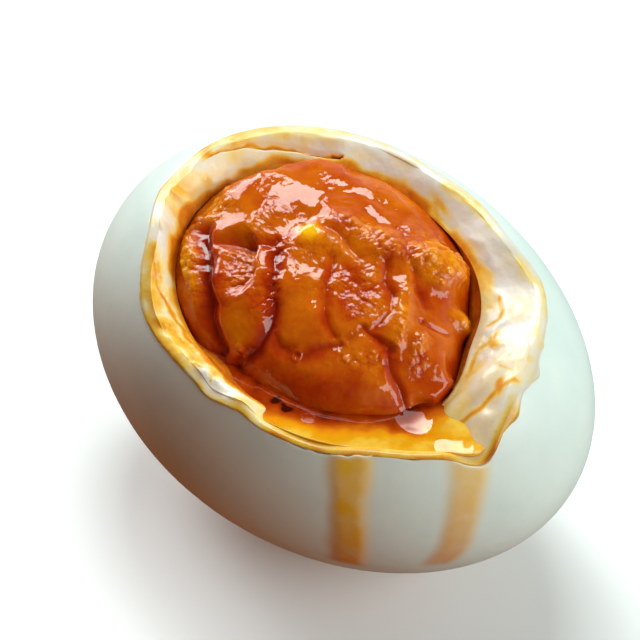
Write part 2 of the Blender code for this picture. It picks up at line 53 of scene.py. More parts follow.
EGG_HALF_LENGTH = 32.0
EGG_HALF_WIDTH = 23.3
EGG_TAPER = -0.03
FOOT_DEPTH = 0.15
SHELL_THICKNESS = 0.45
GAP = 0.01  # between two pieces that touch
OPENING_ROLL = math.radians(17.0)
OPENING_PITCH = math.radians(8.0)
EDGE_HEIGHT = 14.8

# Rises and dips of the broken edge, as waves
EDGE_WAVES = (
    (1.2, -160, 14), (-0.5, -128, 11), (-0.4, -96, 5),
    (0.4, -82, 5), (0.6, -36, 12), (-1.4, -13, 5),
    (1.1, 3, 7), (0.7, 16, 7), (-1.3, 40, 10),
    (-0.7, 72, 14), (-1.4, 128, 34), (0.7, 176, 9),
)

YOLK_HALF_HEIGHT = 14.5
YOLK_LIFT = 3.0
YOLK_SQUARENESS_TOP = 2.8
YOLK_SQUARENESS_BASE = 2.2
RELIEF_FLOOR = 9.0
RELIEF_FULL = 12.5
SIDE_ROOM, SIDE_RELIEF, SIDE_SLOPE = 0.3, 0.1, 1.1  # near the cup: how near, most relief, its growth beyond
SHADED_HEIGHTS = (8.0, 14.5)  # between them the painted shade on the yolk's low side fades out to full tone
SHADED_TONE = 0.42  # share of the tone below them
YOLK_TOP_TURN = math.radians(75.0)  # from OUT, where the denser rings end

# Clefts of the yolk: path, half width, depth and how much painted shade darkens them
CLEFTS = (
    (((-15.4, -3.2), (-13, -5.6), (-10.6, -8.2), (-8, -10.9), (-5, -12.9)), 1, 0.8, 1.1),
    # this one lies under the big plate's front ledge; its darkness is the ledge's painted shadow
    (((-13.2, -3.9), (-10, -2), (-7.2, -0.7), (-5.6, -1.8)), 0.8, 0.35, 0.5),
    (((-6.3, -1.4), (-4.7, -3.2), (-2.4, -5.9), (-0.9, -8.4), (-1.1, -11), (-2.6, -13.6)), 0.9, 0.6, 0.8),
    (((-0.9, -8.6), (1.6, -9.6), (4, -9.2), (5.4, -7.4), (6.6, -5.6)), 0.7, 0.3, 0.5),
    (((-0.6, 1.8), (1.2, -1.4), (3.2, -4.2), (5.6, -5.2)), 0.7, 0.35, 0.45),
    (((3.9, 5.2), (5.3, 3.1), (6.9, 2.2), (8.2, 1), (8.4, -1.2)), 0.5, 0.4, 0.35),
    (((5.9, 6.8), (7.8, 5.2), (9.3, 4.8), (10.6, 4.1)), 0.5, 0.4, 0.35),
    (((7.4, -3), (9.6, -2.4), (10.7, -2.7), (12, -3.8), (13.4, -4.9), (15, -5.8)), 0.5, 0.45, 0.55),
    (((8.4, -1.2), (8.2, -2.6), (7, -4.4)), 0.6, 0.3, 0.4),
    (((11.2, 2.4), (13.4, 3.2)), 0.4, 0.4, 0.4),
    (((-3.6, 4.2), (-1, 4.4), (1.6, 3.6)), 0.6, 0.25, 0.25),
    (((1.4, 1.6), (4.4, 0.6), (5.4, -1.8)), 1.2, 0.15, 0.4),
    (((-1.6, 9), (2.6, 9.6), (6, 6.8)), 1, 0.15, 0.3),
)

# Lumps of the yolk: oval and height
LUMPS = (
    (-5, -8.8, 4.2, 2.8, -50, 0.6), (0.4, -4.2, 3.8, 2.6, -45, 0.4), (13.6, 6.2, 1.3, 1, -60, 0.9),
    (10.4, -8.4, 4.6, 2.8, 30, 0.5), (8.4, 2.2, 4.4, 1.3, -58, 0.5), (14.2, 0.4, 3, 2.6, -70, 0.5),
    (8.1, 9.2, 2.7, 2.4, 0, 1.5), (2, 6.6, 4.6, 1.6, 12, 0.45), (-4.9, 2.8, 2.2, 1.6, 0, 0.35),
    (-14, -7, 5, 1.2, -40, 0.6),
)

# Flatter plates of the yolk: oval, height over the egg's centre, slope along and across, and bend along
# and across for each millimetre
PLATES = (
    (-9.8, 5.4, 6.8, 4.6, 63, 16.4, 0.04, -0.15, 0.006, 0.006),
    (-9.7, -5, 3.8, 2.6, -49, 15.9, 0.05, -0.12, 0.01, 0.01),
    (14.6, -2.2, 2.6, 2.6, -40, 15, -0.42, 0.12, 0.02, 0.02),
    (-1.6, 9.4, 5, 2.6, 18, 16, 0.02, -0.42, 0.004, 0.01),
)
PLATE_INNER, PLATE_OUTER = 0.65, 1.25  # where a plate begins to fade and ends, in half sizes

# Lighter and darker places of the yolk: oval and change of tone
TONES = (
    (-4.9, 2.6, 1.7, 1.2, 0, 0.42), (-1, 9, 4, 2.2, -10, 0.16), (-6.8, -6.2, 4.4, 3, -50, -0.1),
    (8.6, 2.2, 4.6, 1.2, -60, 0.17), (7.9, 8.9, 2.8, 2.4, 0, 0.28), (13.6, 6.2, 1.3, 1, 0, 0.34),
    (-1.4, 9.8, 4.6, 2.2, 18, -0.09), (4.4, 0.4, 2.8, 2, 40, -0.1), (0.4, -5.4, 2.8, 2, -40, 0.08),
    (8.8, -10.4, 6.4, 2.6, 24, -0.1), (1, -11.4, 4, 2.6, -20, -0.09), (9.8, -5, 3, 2, -30, 0.05),
    (14.8, -1.4, 3, 3.2, -30, -0.12), (-13.8, -7.2, 5.4, 1, -40, 0.26), (-4.4, -9.6, 2.6, 1.6, -50, 0.16),
    (-17, 0.4, 1.4, 2.6, 0, 0.18),
)

# Crumbly places of the yolk: oval and how crumbly
CRUMBLY = (
    (-8.2, -5, 3.4, 2.4, -50, 0.8), (1.6, 6.8, 5.4, 1.5, 12, 1), (8.3, 9, 3, 2.8, 0, 1.6),
    (13.6, 6.2, 1.4, 1.2, 0, 1.2), (9.6, 0.6, 4.4, 0.8, -62, 1), (9.8, -5.2, 2.6, 1.6, 25, 1),
    (-13.8, -7.2, 5.2, 1, -40, 1.4), (12.8, 0.2, 3.4, 0.7, -70, 0.8), (4, 1.8, 2.4, 1.6, 40, 0.6),
    (-16.2, 0.8, 4, 1.6, 80, 1.2), (-1.6, 2.6, 2.4, 1.4, 30, 0.6), (0.6, -1.2, 1.2, 2.2, -40, 0.5),
    (-2.4, -12.4, 1.2, 0.9, -40, 1), (3.4, 10.6, 3.2, 1.8, 20, 0.7), (6.2, -0.6, 2.4, 2, 0, 0.9),
    (-3.6, -4.6, 2, 1, -50, 0.7), (13.2, -1, 1, 2.4, 30, 0.8), (-2.2, 9.6, 4.4, 2.2, 18, -0.6),
)

# A small ring of froth on the yolk: along, across, radius of the ring, half width of its wall, height
BUBBLE = (3.4, -9.3, 0.45, 0.14, 0.14)

CLEFT_REACH, CLEFT_POWER = 1.5, 1.3  # where a cleft ends, in half widths, and how steep its sides are
# painted shade in the clefts: how far it reaches, in half widths, and how much it lowers the tone
CLEFT_SHADE_REACH, CLEFT_SHADE = 1.1, 0.34
YOLK_TONE = 0.47

# How crumbly the yolk is: everywhere, more in patches, and at most
GRAIN_LEAST, GRAIN_PATCH, GRAIN_MOST = 0.14, 0.42, 1.3
YOLK_PATCH_EDGE = (0.15, 0.8)
GRAIN_MEAN = 0.6  # share of its grains' height, before noise
GRAIN_HEIGHT_MOST = 1.2
BIG_GRAIN_MOST = 1.1
GAP_TONE = -0.07  # of the gaps between grains

# The cup that holds the yolk: an oval swollen by waves
CUP_HALF_LENGTH = 17.8
CUP_HALF_WIDTH = 14.2
CUP_WAVES = (
    (1.2, 125, 36), (0.9, 180, 26), (0.7, -142, 26),
    (0.9, -94, 28), (0.75, -54, 38), (0.4, 52, 18),
    (-0.8, 14, 12), (0.5, -24, 12),
)

# Width of the moat between cup and yolk at the cup's lip: least, and waves that add to it
MOAT_LEAST = 0.03
MOATS = ((2.5, 32, 24), (1, 2, 14), (1.3, -98, 26))

# Turn from the cup's lip, in degrees, over which it closes in on the yolk: least, and most that moats add
MOAT_TURN, MOAT_TURN_MORE = 1.2, 2.4
CUP_GAP = 0.1  # between cup and yolk below that

LIP_HEIGHT = 12.5

# Each a height, a bearing and a spread in degrees
LIP_DIP = (1.2, -58.0, 56.0)  # how much lower the cup's lip is under the pool
LIP_RISE = (2.6, -91.0, 26.0)  # how far it stands up again beside the pool
BEAD = (0.3, -1.0, 13.0)  # the oil that clings where yolk and rim meet, at the right
BEAD_WIDTH = 0.28
RIM_PROUD = 0.25
WHITE_EDGE_BELOW = 0.05  # how far below the shell's edge the white leaves the shell's inside

# How far torn white hangs over the shell's edge: least, and waves that add to it
HANG_LEAST = 0.22
HANGS = (
    (1, 0, 3.5), (0.6, -12, 5), (0.5, 9, 5),
    (0.4, 20, 8), (0.4, -140, 9), (0.3, -112, 6),
    (0.3, -84, 5), (0.4, 120, 30),
)
HANG_THICKNESS = 0.12
HANG_THICKEST = 0.6  # where it is that thick, as a share of the way down
HANG_RING = 22.0  # as CHIP_RING
HANG_MEAN = 0.5
HANG_LIMITS = (0.05, 1.3)
HANG_POOL_SHORTER, HANG_POOL_THINNER = 0.5, 0.6
HANG_OUTER_START, HANG_INNER_START = 0.06, 0.04  # below the shell's edge
HANG_INNER_INSET = 0.2
HANG_CREST, HANG_CREST_LOWER = 0.14, 0.11  # over the shell's edge, and how much less at the pool
HANG_CREST_LIFT = 0.02
HANG_STAIN, HANG_STAIN_POOL = 0.32, 0.42

# Waves that add to its stain
HANG_STAINS = ((0.4, -120, 26), (0.14, 160, 30), (0.12, -8, 16))

RIM_FALL = 1.3
POOL_FALL = 0.55
POOL = (1.0, -45.0, 38.0)  # where it stands on the rim: share, bearing and spread in degrees
POOL_LOWERS = 0.8  # share of RIM_PROUD that is lost under the pool
RELIEF_BEGINS, RELIEF_ENDS = 0.05, 0.85  # as shares of the rim's width
POOL_SMOOTHS, LIP_SMOOTHS = 0.6, 0.7  # shares of the relief that are lost there

# Folds of the white's rim: path, half width, height
FOLDS = (
    (((-21.6, -1.8), (-18.6, -1.2)), 0.45, 0.5),
    (((-21.4, -3.1), (-18, -2.9)), 0.4, 0.6),
    (((-21.3, -4.1), (-17.8, -4.7)), 0.4, 0.65),
    (((-20.8, -5.1), (-17.2, -6.6)), 0.45, 0.65),
    (((-18.6, -6), (-16.9, -8), (-15.2, -10), (-13.4, -11.4)), 0.8, 0.65),
    (((-17.4, -11), (-14.8, -13.2), (-12.6, -15)), 0.8, 0.55),
    (((-12.3, -14.8), (-10.6, -13.9)), 0.55, 0.45),
    (((-4.2, -16.2), (-1.2, -16.5)), 0.8, 0.45),
    (((0.6, -16.3), (4.2, -15.6)), 0.7, 0.4),
    (((20.8, 3.4), (20, -0.4), (19, -4.4)), 1.6, 0.7),
    (((22.2, 4.6), (23.6, 2.6)), 1.1, 0.5),
    (((23.4, -2.6), (23.8, -5)), 1.1, 0.65),
    (((14.8, 11), (16.8, 10), (17.5, 8.6), (16.9, 7), (16, 6.2)), 0.6, 0.2),
    (((18.6, 5.4), (19.8, 6), (20.9, 5), (20.5, 3.8), (19.2, 3.6)), 0.6, 0.22),
    (((8.1, 14.4), (9.9, 14.5), (12.6, 13.2)), 0.6, 0.16),
    (((4, 19), (10, 18.2), (15, 15.8)), 0.7, 0.35),
    (((-21, 8), (-17, 12.4), (-11, 15.6)), 0.7, 0.35),
)

# Crumbly places of the rim: oval and how crumbly
RIM_CRUMBS = (
    (-12.6, -13.6, 4.6, 1.8, -42, 1), (-6.6, -15.2, 4, 1.6, -6, 0.8), (-1.6, -15.8, 3, 1, 0, 0.7),
    (-17.6, -8, 3.6, 1.2, -48, 0.6), (18.6, 5, 2.4, 2, 60, 0.5), (-19.6, 2, 2.4, 1.6, 60, 0.4),
)

CREASE = ((-21.9, 3.3), (-21.2, 5.9), (-19.5, 8.4), (-17.0, 10.4), (-14.5, 12.0), (-10.4, 14.0))
CREASE_DEPTH = 0.5
CREASE_HALF_WIDTH = 0.24
CREASE_WARP = 0.5  # how much it wavers beside the folds

# Oily lines on the white: path, half width, how stained
STAIN_LINES = (
    (CREASE, 0.28, 0.74),
    (((-13.6, 12.5), (-12.2, 13.1)), 0.26, 0.98),
    (((-11.4, 13.5), (-10.2, 14.1)), 0.3, 1),
    (((-21.4, -4.6), (-19.6, -6.7), (-18, -8.8), (-15.3, -11.4), (-12.2, -12.7), (-10.2, -13.4)), 0.36, 0.74),
    (((-13.4, -15.4), (-10.1, -14.8), (-8.4, -14.8), (-6.4, -15.4), (-5, -15.9)), 1.2, 0.64),
    (((1.8, 17.6), (5.3, 17.6), (9.2, 17), (12.2, 16.2), (14.8, 15.3), (17, 14.1)), 0.7, 0.5),
    (((23.6, 2.6), (22.9, 0.6), (22.4, -1.4), (21.2, -4)), 0.5, 0.72),
    (((20.6, 10.4), (22.4, 8), (22.9, 5.8)), 0.35, 0.5),
    (((14.9, 10.6), (16.6, 9.4), (16.9, 8.4), (16.4, 7.2)), 0.35, 0.62),
    (((17.9, 6.7), (17.5, 4.1), (18.2, 1.8)), 0.55, 0.6),
    (((21, 3.2), (22.6, 3.4)), 0.25, 0.52),
    (((-12, -12.8), (-8, -14), (-4, -14.9), (1, -15.3)), 0.5, 0.74),
    (((-3.4, -15.2), (-2.4, -17)), 0.18, 0.62),
)

# Oily places on the white: oval and how stained
STAIN_SPOTS = (
    (-17.3, 11.9, 2.6, 1, 35, 0.46), (-22.2, 3.6, 1.4, 0.9, 60, 0.5),
    (-20.8, -0.8, 1.4, 0.9, 20, 0.54), (-19.4, -3.2, 1.6, 1, 0, 0.54),
    (-16, -10.8, 3.4, 1.4, -45, 0.6), (-11.4, -14.4, 1.9, 0.9, 18, 0.66),
    (-9, -16.4, 3.4, 1.2, 0, 0.6), (-7.2, -15, 2.2, 1, -12, 0.58),
    (-2.8, -15.8, 1.6, 0.7, 0, 0.6), (-13, -15.2, 2.6, 1.4, -40, 0.56),
    (15.1, 14.7, 2.2, 1, -30, 0.46), (18.3, 5.6, 1.2, 0.8, 10, 0.62),
    (22.8, 1.2, 1.3, 0.9, -60, 0.8), (18.6, 1.4, 2.4, 0.9, 80, 0.52),
    (19, -1.6, 3.4, 1.5, -80, 0.36), (2.6, 15.9, 2.2, 0.7, -14, 0.58),
    (8.6, 13.9, 1.6, 0.6, -10, 0.42), (-8, 15.6, 2.4, 1, 10, 0.3),
    (-20, 1.8, 1.4, 1.2, 60, 0.52), (-17.8, -5.4, 1.6, 0.7, -40, 0.44),
    (-14.2, -13, 3, 1.4, -42, 0.6), (-8.6, -15.2, 2.6, 1.2, 0, 0.6),
    (-2.6, -16, 1.4, 0.7, 0, 0.48), (2.2, -16.6, 1.6, 0.6, 8, 0.52),
    (24, -4.9, 1.6, 1.1, -50, 0.34), (20.4, -2.6, 3, 2, -70, 0.42),
    (22.6, -6.4, 2.4, 1.2, -60, 0.48),
)

STAIN_LEAST = 0.1
STAIN_PATCH = 0.18  # how much more its patches are stained
RIM_PATCH_EDGE = (-0.1, 0.8)
STAIN_LEFT = 0.4
STAIN_LEFT_AT = (1.0, 178.0, 60.0)  # as POOL
STAIN_POOL = 0.62
STAIN_OUTSIDE = 0.15
STAIN_CUP = 0.88
FOOT_EDGE = (0.46, 0.88)  # share of the rim's width over which the stain of its foot sets in

# How stained the rim is where it meets the yolk: least, and waves that add to it
FOOT_LEAST = 0.5
FOOTS = (
    (0.24, 150, 45), (0.28, 80, 40), (0.24, -150, 30),
    (0.3, -95, 30), (-0.2, 20, 22),
)

OIL_LEVEL = 8.35  # over the egg's centre, straight up
OIL_BEARINGS = (-140.0, 35.0)
OIL_THICKNESS = 0.6
OIL_OUTER_INSET = 0.1  # from the rim's outer edge
OIL_INNER_OVERLAP = 3.4  # how far inside the cup's lip the oil begins
OIL_SHALLOW, OIL_DEEP = 0.08, 0.88  # how deep it looks over the rim and beside the yolk
OIL_DEPTH_EDGE = (-2.6, 0.6)  # how far inside the cup's lip it turns from one into the other

# Swells of its surface, and its darker places: oval and amount. The first two darker places are painted shade
# of small hollows by the yolk's foot, the last a darker streak in the oil
OIL_SWELLS = (
    (16, -5.2, 2.6, 1.8, -30, 0.3), (22, -5.8, 2, 1.7, -30, 0.24), (-3.6, -15.4, 0.5, 0.4, 0, 0.08),
    (8.4, -13.6, 0.6, 0.4, 20, 0.08),
)
OIL_SHADE_AND_STREAKS = (
    (5.8, -14, 0.7, 0.4, 10, 0.4), (4.2, -13.9, 0.7, 0.35, 0, 0.2), (18.4, -7.8, 3.2, 0.8, 24, 0.34),
)

# Drips of oil down the shell: turn from +X at the top and at the bottom, half width at both, the heights
# between which they run, and how strong their colour is
DRIPS = (
    (-46, -46, 2.7, 2.6, 9.5, -11.6, 1),
    (-19.8, -25.5, 2.7, 1.9, 9.5, -9.6, 0.78),
)

DRIP_THICKNESS = 0.2
DRIP_INNER, DRIP_OUTER = 0.3, 1.2  # where it begins to fade and ends, in half widths
DRIP_END = 3.0  # over this height above its lowest point it fades in

SHELL_INSET = 0.01  # under the solid's surface
PALE_EDGE_FULL, PALE_EDGE_END = 0.05, 0.5  # how far from the broken edge the shell is bare and paler

# Unevenness: amount, size of its bumps, seed and number of ever finer layers
SHELL_WAVES = (0.02, 4.0, 31, 1)
CHIPS = ((0.16, 1.9, 21, 1), (0.1, 0.7, 22, 1))
DRIP_WAVES = (0.4, 3.4, 41, 1)
RIM_BUMPS = ((0.2, 3.1, 51, 1), (0.07, 1.3, 52, 1), (0.02, 0.5, 53, 1))
FOLD_WAVES = (0.18, 1.6, 55, 1)
STAIN_WARP = ((0.25, 1.8, 56, 2), (0.25, 1.8, 57, 2))
RIM_PATCHES = (1.0, 3.6, 62, 2)
LEFT_STAIN_WAVES = (0.26, 2.6, 63, 2)
FOOT_WAVES = (0.16, 2.4, 61, 2)
POOL_STAIN_WAVES = (0.08, 1.7, 64, 1)
HANG_WAVES = (0.5, 2.2, 81, 3)
HANG_STAIN_WAVES = (0.24, 2.4, 82, 2)
YOLK_WARP = ((0.35, 2.4, 71, 2), (0.35, 2.4, 72, 2))
YOLK_PATCHES = (1.0, 3.4, 73, 2)
YOLK_GRAIN_WAVES = (0.7, 1.3, 78, 1)
YOLK_CRAGS = (0.28, 3.4, 7, 1)
YOLK_BUMPS = (0.07, 1.6, 75, 3)
YOLK_TONE_WAVES = ((0.1, 3.6, 76, 1), (0.05, 1.6, 79, 1))
OIL_WAVES = (0.5, 2.4, 91, 2)
OIL_WARP = ((0.3, 0.8, 94, 2), (0.3, 0.8, 95, 2))

CHIP_RING = 20.0  # radius of the ring on which the chips are worked out
CHIP_LIMIT = 0.12

# Big and small grains: size and seed
RIM_GRAINS = ((1.1, 58), (0.5, 59))
YOLK_GRAINS = ((0.85, 74), (0.42, 77))
RIM_GRAIN_HEIGHTS = (0.3, 0.12)
YOLK_GRAIN_HEIGHTS = (0.28, 0.1)
YOLK_GRAIN_TONES = (0.17, 0.07)
GRAIN_SCATTER = 0.45  # how far a grain's middle strays in its cell, as a share of the cell
GRAIN_REACH = 0.72  # from its middle to where it ends, as a share of the cell

# Points round each piece, and rings along its stretches, at full detail
SHELL_AROUND, SHELL_OUTSIDE, SHELL_INSIDE = 560, 110, 24
WHITE_AROUND, WHITE_OUTSIDE, WHITE_RIM, WHITE_CUP = 600, 14, 96, 30
YOLK_AROUND, YOLK_TOP, YOLK_UNDER = 660, 136, 12
OIL_AROUND, OIL_ACROSS = 360, 60
SHELL_CROWDING, CUP_CROWDING = 1.25, 1.8  # over 1, rings stand closer together near the rim

# Camera, as the egg's outline and its drips place it
CAMERA_AZIMUTH = 41.6
CAMERA_ELEVATION = 44.0
CAMERA_DISTANCE = 300.0
CAMERA_LENS = 148.4
AIM_LEFT = 2.365
AIM_UP = 3.19

SENSOR_WIDTH = 36.0
CLIP_START = 0.01

FLOOR_HALF = 1.5

# Lamps: name, azimuth, elevation, distance, width, height, watts, colour
SOFTBOXES = (
    ("back_window", 221, 61, 0.7, 0.3, 0.27, 3, (0.88, 1, 0.97)),
    ("right_fill", 95, 28, 0.8, 0.6, 0.5, 5, (0.97, 1, 0.97)),
    ("left_fill", 256, 27, 0.8, 0.5, 0.5, 6.6, (0.96, 1, 1)),
)
LAMP_AIM_HEIGHT = 0.03

WORLD_STRENGTH = 0.85
DARK_SIDE = (-0.25, -0.75, -0.61)  # where the surroundings are dark and warm
WORLD_COLOURS = ((0.32, (200, 214, 212)), (0.7, (140, 80, 46)))  # away from that side and towards it
CEILING = (0.25, 0.75, 1.0, 0.12)  # between these heights the surroundings fade from 1 to that brightness


def opening_frame():
    """ALONG, ACROSS and OUT as rows, in the egg's own axes."""
    roll, pitch = OPENING_ROLL, OPENING_PITCH
    upright = math.cos(pitch)
    out = np.array((math.sin(pitch), -math.sin(roll) * upright, math.cos(roll) * upright))
    along = np.array((1.0, 0.0, 0.0)) - out * out[0]
    along /= np.linalg.norm(along)
    return np.array((along, np.cross(out, along), out))


FRAME = opening_frame()
STRAIGHT_UP = FRAME[:, 2]
CENTRE_HEIGHT = EGG_HALF_WIDTH - FOOT_DEPTH


def smoothstep(low, unshaded, value):
    share = np.clip((value - low) / (unshaded - low), 0.0, 1.0)
    return share * share * (3.0 - 2.0 * share)


def turned(degrees):
    """Unit vectors in the opening's plane at these bearings, as (along, across) arrays."""
    angle = np.radians(degrees)
    return np.cos(angle), np.sin(angle)


def bearing_gap(degrees, other):
    """How far apart two bearings are, from -180 to 180."""
    return (np.asarray(degrees) - other + 180.0) % 360.0 - 180.0


def lattice_value(corner, seed):
    """A fixed number from -1 to 1 for each whole-number corner of a lattice."""
    mixed = corner[..., 0] * 374761393 + corner[..., 1] * 668265263 + corner[..., 2] * 1442695041
    mixed = (mixed + seed * 97531) & 0xFFFFFFFF
    mixed = ((mixed ^ (mixed >> 13)) * 1274126177) & 0xFFFFFFFF
    return (mixed ^ (mixed >> 16)) / 2147483648.0 - 1.0


def smooth_noise(points, size, seed):
    """Smooth noise from -1 to 1 whose bumps are about that size."""
    scaled = np.asarray(points) / size
    corner = np.floor(scaled).astype(np.int64)
    share = smoothstep(0.0, 1.0, scaled - corner)
    total = np.zeros(scaled.shape[:-1])
    for step in itertools.product((0, 1), repeat=3):
        weight = np.where(step, share, 1.0 - share).prod(axis=-1)
        total += weight * lattice_value(corner + np.array(step), seed)
    return total


def layered_noise(points, size, seed, layers):
    """Smooth noise with finer and fainter noise added to it."""
    return sum(smooth_noise(points, size / 2**i, seed + 11 * i) / 2**i for i in range(layers))


def uneven(points, *parts):
    """The sum of such noises, given as in the table of unevenness."""
    return sum(amount * layered_noise(points, *part) for amount, *part in parts)


def warped(points, warp):
    """Along and across of points, each moved by its own noise."""
    return [points[..., k] + uneven(points, part) for k, part in enumerate(warp)]


def cells(points, size, seed):
    """Distance to the nearest of scattered points about that far apart, as a share of size."""
    scaled = np.asarray(points) / size
    corner = np.floor(scaled).astype(np.int64)
    nearest = np.full(scaled.shape[:-1], np.inf)
    for step in itertools.product((-1, 0, 1), repeat=3):
        cell = corner + np.array(step)
        spot = np.stack([lattice_value(cell, seed + k) for k in (1, 2, 3)], -1) * GRAIN_SCATTER + 0.5
        nearest = np.minimum(nearest, np.linalg.norm(cell + spot - scaled, axis=-1))
    return nearest


def granules(points, size, seed):
    """Round grains packed side by side: 1 at the middle of a grain, 0 between grains."""
    return np.clip(1.0 - (cells(points, size, seed) / GRAIN_REACH) ** 2, 0.0, 1.0)


def stacked(*parts):
    """Points from their three parts, each an array or a number."""
    return np.stack(np.broadcast_arrays(*parts), -1)


def oval_radius(degrees, half_length, half_width):
    """Radius of an ellipse at these bearings."""
    along, across = turned(degrees)
    return 1.0 / np.sqrt((along / half_length) ** 2 + (across / half_width) ** 2)


def direction(polar, degrees):
    """Unit vectors in the opening's frame: polar angle from OUT in radians, and bearing."""
    along, across = turned(degrees)
    polar = np.asarray(polar)
    return stacked(np.sin(polar) * along, np.sin(polar) * across, np.cos(polar))


def egg_reach(unit):
    """Distance from the egg's centre to its outer surface along these directions."""
    own = unit @ FRAME
    reach = np.full(own.shape[:-1], EGG_HALF_WIDTH)
    for _ in range(6):
        half_width = EGG_HALF_WIDTH * (1.0 + EGG_TAPER * reach * own[..., 0] / EGG_HALF_LENGTH)
        flat = (own[..., 0] / EGG_HALF_LENGTH) ** 2
        reach = 1.0 / np.sqrt(flat + (own[..., 1] ** 2 + own[..., 2] ** 2) / half_width**2)
    return reach


def edge_height(degrees):
    """Height of the shell's broken edge over the egg's centre, along OUT."""
    return EDGE_HEIGHT + swellings(degrees, EDGE_WAVES)


def chipped_edge_height(degrees):
    """The broken edge with its small chips, which never rise over the plain edge."""
    ring = in_opening_frame(CHIP_RING, degrees, 0.0)
    return edge_height(degrees) - CHIP_LIMIT + np.minimum(uneven(ring, *CHIPS), CHIP_LIMIT)


def polar_at_height(degrees, height, inset):
    """Polar angle at which the egg's surface, moved in by inset, passes this height along OUT."""
    low, unshaded = np.zeros(np.shape(degrees)), np.full(np.shape(degrees), math.pi / 2)
    for _ in range(40):
        middle = (low + unshaded) / 2
        above = (egg_reach(direction(middle, degrees)) - inset) * np.cos(middle) > height
        low, unshaded = np.where(above, middle, low), np.where(above, unshaded, middle)
    return low


def distance_to_path(along, across, path):
    """Distance in the opening's plane from each point to a line of straight stretches."""
    nearest = np.full(np.shape(along), np.inf)
    for (x0, y0), (x1, y1) in itertools.pairwise(path):
        dx, dy = x1 - x0, y1 - y0
        share = np.clip(((along - x0) * dx + (across - y0) * dy) / (dx * dx + dy * dy), 0.0, 1.0)
        nearest = np.minimum(nearest, np.hypot(along - x0 - share * dx, across - y0 - share * dy))
    return nearest


def in_oval(along, across, x, y, half_length, half_width, turn):
    """Places as shares of an oval's half length and half width, turned in the opening's plane."""
    c, s = math.cos(math.radians(turn)), math.sin(math.radians(turn))
    run = ((along - x) * c + (across - y) * s) / half_length
    side = ((across - y) * c - (along - x) * s) / half_width
    return run, side


def oval_mound(along, across, *oval):
    """A soft-edged oval mound of height 1."""
    run, side = in_oval(along, across, *oval)
    return np.exp(-((run**2 + side**2) ** 1.5))


def oval_mounds(along, across, mounds):
    return sum(oval_mound(along, across, *oval) * height for *oval, height in mounds)


def plate_share(along, across, *oval):
    """1 inside an oval with squarish ends, falling to 0 over a narrow border."""
    run, side = in_oval(along, across, *oval)
    return 1.0 - smoothstep(PLATE_INNER, PLATE_OUTER, (run**4 + side**4) ** 0.25)


def swellings(degrees, waves):
    """Sum of bell-shaped waves."""
    return sum(height * np.exp(-((bearing_gap(degrees, at) / half) ** 2)) for height, at, half in waves)


def stretch(degrees, amount, bearing, spread):
    """The amount along a stretch of bearings about this one, 0 well away from it."""
    return amount * np.exp(-((bearing_gap(degrees, bearing) / spread) ** 4))


def in_opening_frame(radius, degrees, height):
    along, across = turned(degrees)
    return stacked(radius * along, radius * across, height)


def on_egg(unit, lift):
    """Points in these directions that far out from the egg's surface."""
    return unit * (egg_reach(unit) + lift)[..., None]


def to_row(points):
    """Millimetres in the opening's frame to metres in the row's."""
    own = np.asarray(points) @ FRAME
    return (own + (0.0, 0.0, CENTRE_HEIGHT)) * METRES


def bearings(count):
    return np.arange(count) * 360.0 / count


def steps(count):
    return max(4, int(round(count * DETAIL)))


# Meshes


def add_object(name, data):
    made = bpy.data.objects.new(name, data)
    bpy.context.scene.collection.objects.link(made)
    return made


def mesh_object(name, points, quads, triangles, material, masks):
    """A closed object from points of the opening's frame, with a value at each point for each mask."""
    points = to_row(points)
    if signed_volume(points, quads) < 0:
        quads, triangles = quads[:, ::-1], triangles[:, ::-1]
    mesh = bpy.data.meshes.new(name)
    corners = np.concatenate((np.ravel(quads), np.ravel(triangles))).astype(np.int32)
    sizes = np.concatenate((np.full(len(quads), 4), np.full(len(triangles), 3)))
    mesh.vertices.add(len(points))
    mesh.vertices.foreach_set("co", np.ravel(points).astype(np.float32))
    mesh.loops.add(len(corners))
    mesh.loops.foreach_set("vertex_index", corners)
    mesh.polygons.add(len(sizes))
    mesh.polygons.foreach_set("loop_start", (np.cumsum(sizes) - sizes).astype(np.int32))
    for label, values in masks.items():
        layer = mesh.attributes.new(label, "FLOAT", "POINT")
        layer.data.foreach_set("value", np.ravel(values).astype(np.float32))
    mesh.validate()
    mesh.update()
    mesh.shade_smooth()
    mesh.materials.append(material)
    return add_object(name, mesh)


def ring_faces(rings, count):
    """Quads between rings of count points each."""
    i = np.arange(count)
    j = (i + 1) % count
    lower = np.arange(rings - 1)[:, None] * count
    upper = lower + count
    return np.stack((lower + i, lower + j, upper + j, upper + i), -1).reshape(-1, 4)


def closed_object(name, first_pole, rings, last_pole, material, masks):
    """A closed piece from one pole through rings to the other. Masks have a value at each ring point."""
    rings = np.asarray(rings)
    rows, count = rings.shape[:2]
    points = np.concatenate((rings.reshape(-1, 3), [first_pole], [last_pole]))
    i = np.arange(count)
    j = (i + 1) % count
    pole = np.full(count, rows * count)
    last = (rows - 1) * count
    caps = np.stack((np.append(pole, pole + 1), np.append(j, last + i), np.append(i, last + j)), -1)
    ends = {key: np.append(np.ravel(v), (np.mean(v[0]), np.mean(v[-1]))) for key, v in masks.items()}
    return mesh_object(name, points, ring_faces(rows, count), caps, material, ends)


def signed_volume(points, quads):
    """Below 0 if the faces look inwards."""
    middle = points.mean(axis=0)
    a, b, c, d = (points[quads[:, k]] - middle for k in range(4))
    return np.einsum("ij,ij->", np.cross(c - a, d - b), a + b + c + d)


def ride(piece, part):
    """Hangs a piece under the root body and hides the frame's solid of this name, whose place it takes."""
    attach(piece, "root")
    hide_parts(part)


# Materials


def linear(red, green, blue):
    """A colour given as 0 to 255 display values, in linear light."""
    share = np.array((red, green, blue)) / 255.0
    low, unshaded = share / 12.92, ((share + 0.055) / 1.055) ** 2.4
    return (*np.where(share <= 0.04045, low, unshaded), 1.0)


